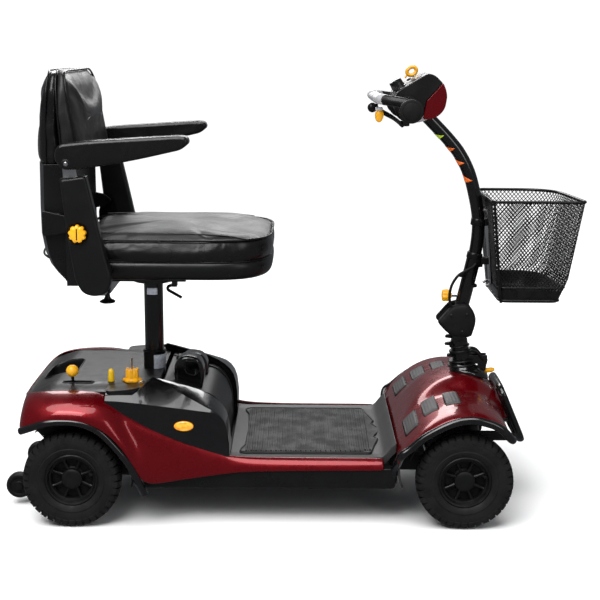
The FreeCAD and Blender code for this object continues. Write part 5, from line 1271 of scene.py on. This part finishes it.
turned("tiller_eye", shut(there_and_back([(6.2, -11.4), (16.4, -11.4), (17, -10.8)])), (389, 0, 411),
       (0, 1, 0), TRIM, "tiller", "bar_black", segs=40, caps=False)
tube("tiller_tongue", [Vector((391, 0, 424)), Vector((393, 0, 434)), Vector((396, 0, 446))], 9.5, TRIM,
     "tiller", "bar_black", segs=20)
for k, (s, out) in enumerate(((500, 1), (548, 1), (524, -1))):
    p = Vector((394 + (s - 440) * 0.2336, 0, s))
    slab(f"sleeve_tab_{k}", rounded([(p.x + out * 14, s - 4), (p.x + out * 24, s - 3),
                                     (p.x + out * 24, s + 4), (p.x + out * 14, s + 6)], 2, 4), -5, 5, TRIM,
         "tiller", "bar_black", bevel=1.2)


def decal(name, t, size, turn0, surface):
    """Small triangle stuck on the tube's near side."""
    p = at(STEM, t)
    way = (at(STEM, t + 0.01) - at(STEM, t - 0.01)).normalized()
    near = Vector((0, -1, 0))
    back = way.cross(near).normalized()
    grid = []
    for i in range(7):
        f = i / 6
        row = []
        for j in range(5):
            a = math.radians(turn0 + (1 - f) * size * 4.4 * (j / 4))
            row.append(p + way * (size * (f - 0.5)) + (near * math.cos(a) + back * math.sin(a)) * 15.1)
        grid.append(row)
    return loft(name, grid, surface, "tiller", "bar_black", closed=False, thick=0.35)


for k, (t, surface, size) in enumerate(((0.857, LIME, 19), (0.765, ORANGE, 18), (0.671, ORANGE, 19),
                                        (0.578, ORANGE, 21))):
    decal(f"tube_decal_{k}", t, size, -88, surface)

TILT_KNOB_Z = 477
knob_body = [(0, -11), (7, -11), (12.5, -10), (14.2, -7), (14.4, 2), (12.6, 7), (7.6, 9), (5.6, 12), (0, 12)]
tilt = lobed("tilt_knob_look", (362, 0, TILT_KNOB_Z), (1, 0, 0), knob_body, 7, 0.14, YELLOW, "tilt_knob",
             "knob_yellow", angle=34)
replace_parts(tilt, "tilt_knob")
tube("tilt_knob_stud", [(x, 0, TILT_KNOB_Z) for x in (372, 382, 394)], 3.8, STEEL, "tilt_knob", "steel",
     segs=16)

# ---------------------------------------------------------------- console
CONSOLE = [(229, 908), (226, 930), (229, 946), (253, 961), (283, 979), (297, 987), (313, 982), (329, 966),
           (294, 928), (285, 892), (255, 879)]
NOSE = [(330, 966), (336, 954), (340, 938), (336, 912), (326, 898), (310, 888), (287, 886), (295, 927)]
console_round = [12, 12, 10, 6, 10, 10, 12, 2, 2, 14, 14]
console = slab("console_body", rounded(CONSOLE, console_round, 6), -84, 84, DECK, "tiller", "deck_satin",
               bevel=13.0, segments=6, angle=50)
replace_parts(console, "console_shell")
nose = slab("console_nose_look", rounded(NOSE, [3, 10, 14, 14, 12, 12, 8, 3], 6), -82.5, 82.5, RED, "tiller",
            "body_red", bevel=13.0, segments=6, angle=50)
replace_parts(nose, "console_nose")
slope = math.radians(29.8)
along_panel = Vector((math.cos(slope), 0, math.sin(slope)))
off_panel = Vector((-math.sin(slope), 0, math.cos(slope)))
panel_at = Vector((264, 0, 965.5))


def on_panel(u, v, h):
    return panel_at + along_panel * u + Vector((0, v, 0)) + off_panel * h


def panel_piece(name, u0, u1, v0, v1, h0, h1, radius, surface, slot, bevel=0.6):
    rings = [[on_panel(u, v, h) for u, v in rounded_rectangle(u0, u1, v0, v1, radius)] for h in (h0, h1)]
    return loft(name, rings, surface, "tiller", slot, bevel=bevel)


panel_piece("panel_plate", -29, 34, -64, 64, -3, 1.2, 9, SILVER, "basket_wire", bevel=0.8)
panel_piece("panel_inlay", -25, 30, -58, 58, 0.5, 1.6, 7, GLOSS, "dial_black")
panel_piece("panel_gauge", 12, 26, -40, 11, 1.0, 3.0, 3, SILVER, "basket_wire")
for k in range(5):
    panel_piece(f"panel_lamp_{k}", 15.5, 22.5, -35 + k * 9.0, -30 + k * 9.0, 2.0, 4.4, 1.2,
                LIME if k > 2 else (ORANGE if k else AMBER), "amber", bevel=0.5)
for k, (u, v) in enumerate(((-14, 44), (4, 44), (18, 44), (6, -50), (20, -50))):
    panel_piece(f"panel_button_{k}", u - 5, u + 5, v - 7, v + 7, 1.0, 5.0, 2.4, GLOSS if k % 2 else SILVER,
                "dial_black", bevel=0.9)
panel_under = [(253, 878), (247, 888), (243, 903), (277, 898), (307, 889), (285, 879)]
slab("console_underside", rounded(panel_under, [8, 8, 8, 10, 4, 10], 5), -60, 60, SILVER, "tiller",
     "basket_wire", bevel=5.0, segments=4)
dial = [(0, 23.5), (10.5, 23.5), (13.2, 22.4), (14.2, 20), (15.0, 8), (15.4, 5.4), (18.5, 4.6), (18.8, 2.0),
        (0, 2.0)]
dial_at = Vector((239, -30, 949.6))
dial_look = lobed("speed_dial_look", dial_at, off_panel, dial, 18, 0.08, GLOSS, "speed_dial", "dial_black",
                  segs=108, angle=34)
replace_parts(dial_look, "speed_dial")
key_at = Vector((279, 22, 972.5))
barrel = turned("key_barrel", [(0, -2), (4, -2), (4, 12), (3, 13), (0, 13)], key_at, off_panel, STEEL,
                "ignition_key", "steel", segs=24)
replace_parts(barrel, "ignition_key")
turned("key_lock", [(4.3, 0), (11, 0), (11.4, 1), (11, 4.6), (9.6, 5.6), (4.3, 5.6), (4.3, 0)], key_at,
       off_panel, SILVER, "tiller", "basket_wire", segs=36, caps=False)
ring_mid = key_at + off_panel * 19
bow_line = [ring_mid + off_panel * (8.5 * math.cos(a)) + along_panel * (11.0 * math.sin(a))
            for a in around(36)]
tube("key_bow", closed(bow_line), (4.2, 5.4), YELLOW, "ignition_key", "knob_yellow", segs=12)
tube("key_tag", spline([ring_mid - off_panel * 1 - along_panel * 11,
                        ring_mid - off_panel * 4 - along_panel * 17,
                        ring_mid - off_panel * 7 - along_panel * 20], 6), (2.0, 4.5), YELLOW, "ignition_key",
     "knob_yellow", segs=12)

# grips and loop
for word, side in SIDES:
    grip_line = [(0, 118.6), (17.5, 118.6), (18.4, 118.0), (18.6, 116.2), (23.2, 116.2), (24.8, 115),
                 (25.4, 111), (25.4, 101), (24.4, 99), (21.8, 98)]
    for k in range(14):
        base = 94 - k * 6.2
        grip_line += [(22.3, base), (22.3, base - 3.6), (21.4, base - 4.2), (21.4, base - 5.6)]
    grip_line += [(22.0, 8), (26.8, 7.4), (27.4, 5.6), (27.4, 1.4), (26.4, 0), (0, 0)]
    grip = turned(f"grip_{word}", grip_line, (252, side * 83.5, 910), (0, side, 0), RUBBER, "tiller",
                  "boot_rubber", segs=64, angle=40)
    if side < 0:
        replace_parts(grip, "handlebar")
    arm = spline([(256, side * 150, 921), (240, side * 147, 925), (216, side * 140, 929),
                  (199, side * 130, 931)], 7)
    tube(f"loop_arm_{word}", arm, (11.5, 14.0), DECK, "tiller", "deck_satin", segs=24)
    bend = spline([(202, side * 132, 930.8), (195, side * 122, 932), (190, side * 105, 932),
                   (189, side * 80, 932), (189, side * 62, 932)], 6)
    tube(f"loop_bend_{word}", bend, (11.6, 15.0), SILVER, "tiller", "basket_wire", segs=24)
tube("loop_bar", spline([(189, -64, 932), (188, 0, 932), (189, 64, 932)], 8), (10.4, 14.4), SILVER, "tiller",
     "basket_wire", segs=24)

# throttle
hub = turned("throttle_hub", [(0, -6), (10, -6), (12, -4.5), (12, 4.5), (10, 6), (5, 6), (5, 30), (0, 30)],
             (254, 0, 873), (0, 0, 1), GLOSS, "throttle", "bar_black", segs=32)
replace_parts(hub, "throttle_lever")
for word, side in SIDES:
    rod_line = spline([(250, side * 3, 868), (240, side * 17, 877), (226, side * 40, 887),
                       (209, side * 61, 896), (192, side * 79, 906)], 6)
    tube(f"throttle_rod_{word}", rod_line, 4.6, GLOSS, "throttle", "bar_black", segs=14)
    turned(f"throttle_clip_{word}", [(0, -3), (7.4, -3), (8.2, -2), (8.2, 3), (7, 4), (0, 4)],
           (191, side * 81, 909), (0, 0, 1), SILVER if side < 0 else TRIM, "throttle", "bar_black", segs=24)
drop = [(0, -19), (3.4, -18.2), (6.6, -15), (8.9, -9.6), (9.8, -3.0), (9.2, 3), (6.9, 6.8), (3.2, 8.6),
        (0, 8.8)]
turned("throttle_paddle_right", drop, (192, -80, 899), (0.05, 0, 1), YELLOW, "throttle", "knob_yellow",
       segs=32)
oval = there_and_back([(0, -8), (4, -7.6), (8.6, -5.4), (11.2, -1.6)])
turned("throttle_paddle_left", oval, (186, 82, 904), (0, 1, 0.1), TRIM, "throttle", "dial_black", segs=32)

# ---------------------------------------------------------------- basket
BASKET_FLOOR, BASKET_RIM = 482, 711


def basket_outline(level, inset=0.0):
    """Outline in plan and height of the basket at a level, 0 the floor and 1 the rim."""
    front_low, front_mid, front_high = (603, 480), (624, 535), (650, 711)
    z = BASKET_FLOOR + (BASKET_RIM - BASKET_FLOOR) * level
    if z < front_mid[1]:
        front = front_low[0] + (front_mid[0] - front_low[0]) * (z - front_low[1]) / 55
    else:
        front = front_mid[0] + (front_high[0] - front_mid[0]) * (z - front_mid[1]) / 176
    back = 468 - 26 * level
    half = 104 + 18 * level - inset
    front -= inset
    back += inset
    outline = rounded([(back, -half), (front, -half), (front - 26, half), (back, half)], [20, 22, 96, 24], 8)
    return outline, z


def basket_ring(level, inset=0.0):
    outline, z = basket_outline(level, inset)
    return [(x, y, z) for x, y in outline]


def walk(ring, share):
    """Point at the given share of a closed ring's length."""
    total = 0.0
    lengths = []
    for i in range(len(ring)):
        a, b = Vector(ring[i]), Vector(ring[(i + 1) % len(ring)])
        lengths.append((b - a).length)
        total += lengths[-1]
    want = (share % 1.0) * total
    for i, length in enumerate(lengths):
        if want <= length:
            return Vector(ring[i]).lerp(Vector(ring[(i + 1) % len(ring)]), want / length)
        want -= length
    return Vector(ring[0])


def strand(points, radius):
    """Thin wire through the points, as a part."""
    rings = []
    for i, p in enumerate(points):
        before, after = points[max(i - 1, 0)], points[min(i + 1, len(points) - 1)]
        way = (after - before).normalized()
        across = way.cross(Vector((0, 0, 1))).normalized()
        up = across.cross(way).normalized()
        rings.append([p + (across * math.cos(a) + up * math.sin(a)) * radius for a in around(5)])
    return part_of(rings)


LEVELS = 22
shells = [basket_ring(0.12 + 0.87 * k / LEVELS) for k in range(LEVELS + 1)]
strands = []
COUNT = 88
for k in range(COUNT):
    for lean in (1, -1):
        pts = [walk(shells[i], (k + lean * i * 0.88) / COUNT) for i in range(LEVELS + 1)]
        strands.append(strand(pts, 1.0))
mesh_wall = joined("basket_mesh", strands, WIRE, "basket", "basket_wire")
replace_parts(mesh_wall, "basket")
for name, level, r in (("rim", 1.0, 3.4), ("low", 0.15, 2.0), ("floor", 0.02, 2.8)):
    ring = basket_ring(level)
    tube(f"basket_ring_{name}", closed([Vector(p) for p in ring]), r, WIRE, "basket", "basket_wire", segs=10)
band_rings = [basket_ring(0.0, 6), basket_ring(0.0, 1.5), basket_ring(0.02, 0.2), basket_ring(0.08),
              basket_ring(0.14), basket_ring(0.155, 0.8), basket_ring(0.155, 2.2), basket_ring(0.13, 3.0),
              basket_ring(0.05, 3.2), basket_ring(0.02, 6)]
loft("basket_band", band_rings, WIRE, "basket", "basket_wire", angle=50)
for word, side in SIDES:
    post = []
    for k in range(9):
        ring, z = basket_outline(k / 8)
        post.append(Vector((min(x for x, _ in ring) + 4, side * (max(y for _, y in ring) - 3), z)))
    tube(f"basket_corner_{word}", post, (3.0, 5.5), WIRE, "basket", "basket_wire", segs=12)
floor_strands = []
for k in range(-14, 22):
    for lean in (1, -1):
        x_mid = 536 + (k - 3) * 15.0
        pts = []
        for i in range(9):
            y = -102 + 204 * i / 8
            x = x_mid + lean * y * 0.72
            if 472 <= x <= 600:
                pts.append(Vector((x, y, 484.0 + 0.9 * lean)))
        if len(pts) > 1:
            floor_strands.append(strand(pts, 0.85))
joined("basket_floor_mesh", floor_strands, WIRE, "basket", "basket_wire")
plate("basket_floor_plate", rounded_rectangle(500, 572, -52, 52, 10), 486.5, 489.5, WIRE, "basket",
      "basket_wire", bevel=1.0)

# bracket
back_plate = [(-30, 508), (30, 508), (34, 690), (24, 714), (-24, 714), (-34, 690)]
plate_line = rounded(back_plate, [10, 10, 10, 12, 12, 10], 5)
plate_rings = []
for x in (444, 447.5):
    plate_rings.append([(x + (466 - 444) * (700 - z) / 220 * 0.8, y, z) for y, z in plate_line])
holder = loft("basket_bracket_look", plate_rings, GLOSS, "tiller", "bar_black", bevel=1.0)
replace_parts(holder, "basket_bracket")
for word, side in SIDES:
    rod_line = spline([(436, side * 26, 682), (446, side * 27, 676), (452, side * 27, 640),
                       (454, side * 27, 590), (458, side * 27, 540), (459, side * 26, 512),
                       (450, side * 22, 504)], 6)
    tube(f"bracket_rod_{word}", rod_line, 3.2, STEEL, "tiller", "basket_wire", segs=14)
for k, z in enumerate((560, 650)):
    clamp = shut(there_and_back([(14.0, -8), (16.4, -8), (17.0, -7.2)]))
    stem_x = at(STEM, 0.19 if z < 600 else 0.37)
    turned(f"bracket_clamp_{k}", clamp, (stem_x.x, 0, z), (0.1, 0, 1), TRIM, "tiller", "bar_black", segs=40,
           caps=False)
    slab(f"bracket_arm_{k}", [(stem_x.x + 14, z - 8), (stem_x.x + 14, z + 8),
                              (455 if z < 600 else 449, z + 8), (456 if z < 600 else 450, z - 8)], -11, 11,
         TRIM, "tiller", "bar_black", bevel=2.0)

# wiring loop
cable = [(428, -12, 560), (420, -17, 548), (404, -22, 540), (384, -26, 528), (370, -27, 505), (366, -27, 478),
         (372, -25, 455), (388, -23, 440)]
cable_piece = tube("wiring_loop_look", spline(cable, 8), 3.3, RUBBER, "tiller", "boot_rubber", segs=14)
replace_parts(cable_piece, "wiring_loop")

# ---------------------------------------------------------------- carried-over frame parts
for node, surface in (("main_frame", FRAME_PAINT), ("transaxle", CAST), ("steering_knuckle_right",
                                                                         FRAME_PAINT),
                      ("steering_knuckle_left", FRAME_PAINT), ("tie_rod", STEEL), ("steering_column", GLOSS),
                      ("seat_post", GLOSS), ("seat_frame", GLOSS), ("swivel_lever", TRIM),
                      ("arm_post_right", STEEL), ("arm_post_left", STEEL)):
    dress(node, surface)

# ---------------------------------------------------------------- floor, light, camera
FLOOR_HALF = 14.0
FLOOR_Z = -0.0005
floor_data = bpy.data.meshes.new("floor")
floor_data.from_pydata([(x * FLOOR_HALF, y * FLOOR_HALF, FLOOR_Z)
                        for x, y in ((-1, -1), (1, -1), (1, 1), (-1, 1))], [], [(0, 1, 2, 3)])
floor = bpy.data.objects.new("floor", floor_data)
bpy.context.scene.collection.objects.link(floor)
paper = bpy.data.materials.new("floor_paper")
paper.use_nodes = True
matt = paper.node_tree.nodes["Principled BSDF"].inputs
matt["Base Color"].default_value = (0.92, 0.92, 0.92, 1)
matt["Roughness"].default_value = 1.0
matt["Specular IOR Level"].default_value = 0.0
floor_data.materials.append(paper)
floor.visible_glossy = False


def soft_light(name, place, aim, size, power):
    lamp = bpy.data.lights.new(name, "AREA")
    lamp.shape = "RECTANGLE"
    lamp.size, lamp.size_y = size
    lamp.energy = power
    lamp_holder = bpy.data.objects.new(name, lamp)
    lamp_holder.location = place
    lamp_holder.rotation_euler = (Vector(aim) - Vector(place)).to_track_quat("-Z", "Y").to_euler()
    bpy.context.scene.collection.objects.link(lamp_holder)


soft_light("key", (-1.1, -2.2, 2.6), (0, 0, 0.4), (1.7, 1.2), 52)
soft_light("strip", (1.9, -2.4, 1.9), (0.2, 0, 0.4), (0.6, 1.7), 13)
soft_light("rim", (-0.4, 2.6, 1.9), (0, 0, 0.5), (2.2, 0.8), 36)
overhead = bpy.data.lights.new("overhead", "SUN")
overhead.energy = 3.25
overhead.angle = math.radians(50)
overhead_holder = bpy.data.objects.new("overhead", overhead)
overhead_holder.rotation_euler = (math.radians(14), math.radians(-8), 0)
bpy.context.scene.collection.objects.link(overhead_holder)

world = bpy.data.worlds.new("studio")
bpy.context.scene.world = world
world.use_nodes = True
wires = world.node_tree
room = wires.nodes["Background"]
room.inputs["Color"].default_value = (0.92, 0.95, 1.0, 1)
room.inputs["Strength"].default_value = 0.18
paper_wall = wires.nodes.new("ShaderNodeBackground")
paper_wall.inputs["Color"].default_value = (1, 1, 1, 1)
paper_wall.inputs["Strength"].default_value = 1.05
seen = wires.nodes.new("ShaderNodeLightPath")
choose = wires.nodes.new("ShaderNodeMixShader")
wires.links.new(seen.outputs["Is Camera Ray"], choose.inputs["Fac"])
wires.links.new(room.outputs["Background"], choose.inputs[1])
wires.links.new(paper_wall.outputs["Background"], choose.inputs[2])
wires.links.new(choose.outputs["Shader"], wires.nodes["World Output"].inputs["Surface"])
bpy.context.scene.view_settings.view_transform = "Standard"

CAMERA_AT = (0.017, -2.737, 1.045)
LOOK_DOWN = 12
LEVEL_TILT = -0.4
lens = bpy.data.cameras.new("camera")
lens.lens = 72
lens.sensor_width = 36
camera = bpy.data.objects.new("camera", lens)
camera.location = CAMERA_AT
camera.rotation_euler = (math.radians(90 - LOOK_DOWN), math.radians(LEVEL_TILT), 0)
bpy.context.scene.collection.objects.link(camera)
bpy.context.scene.camera = camera
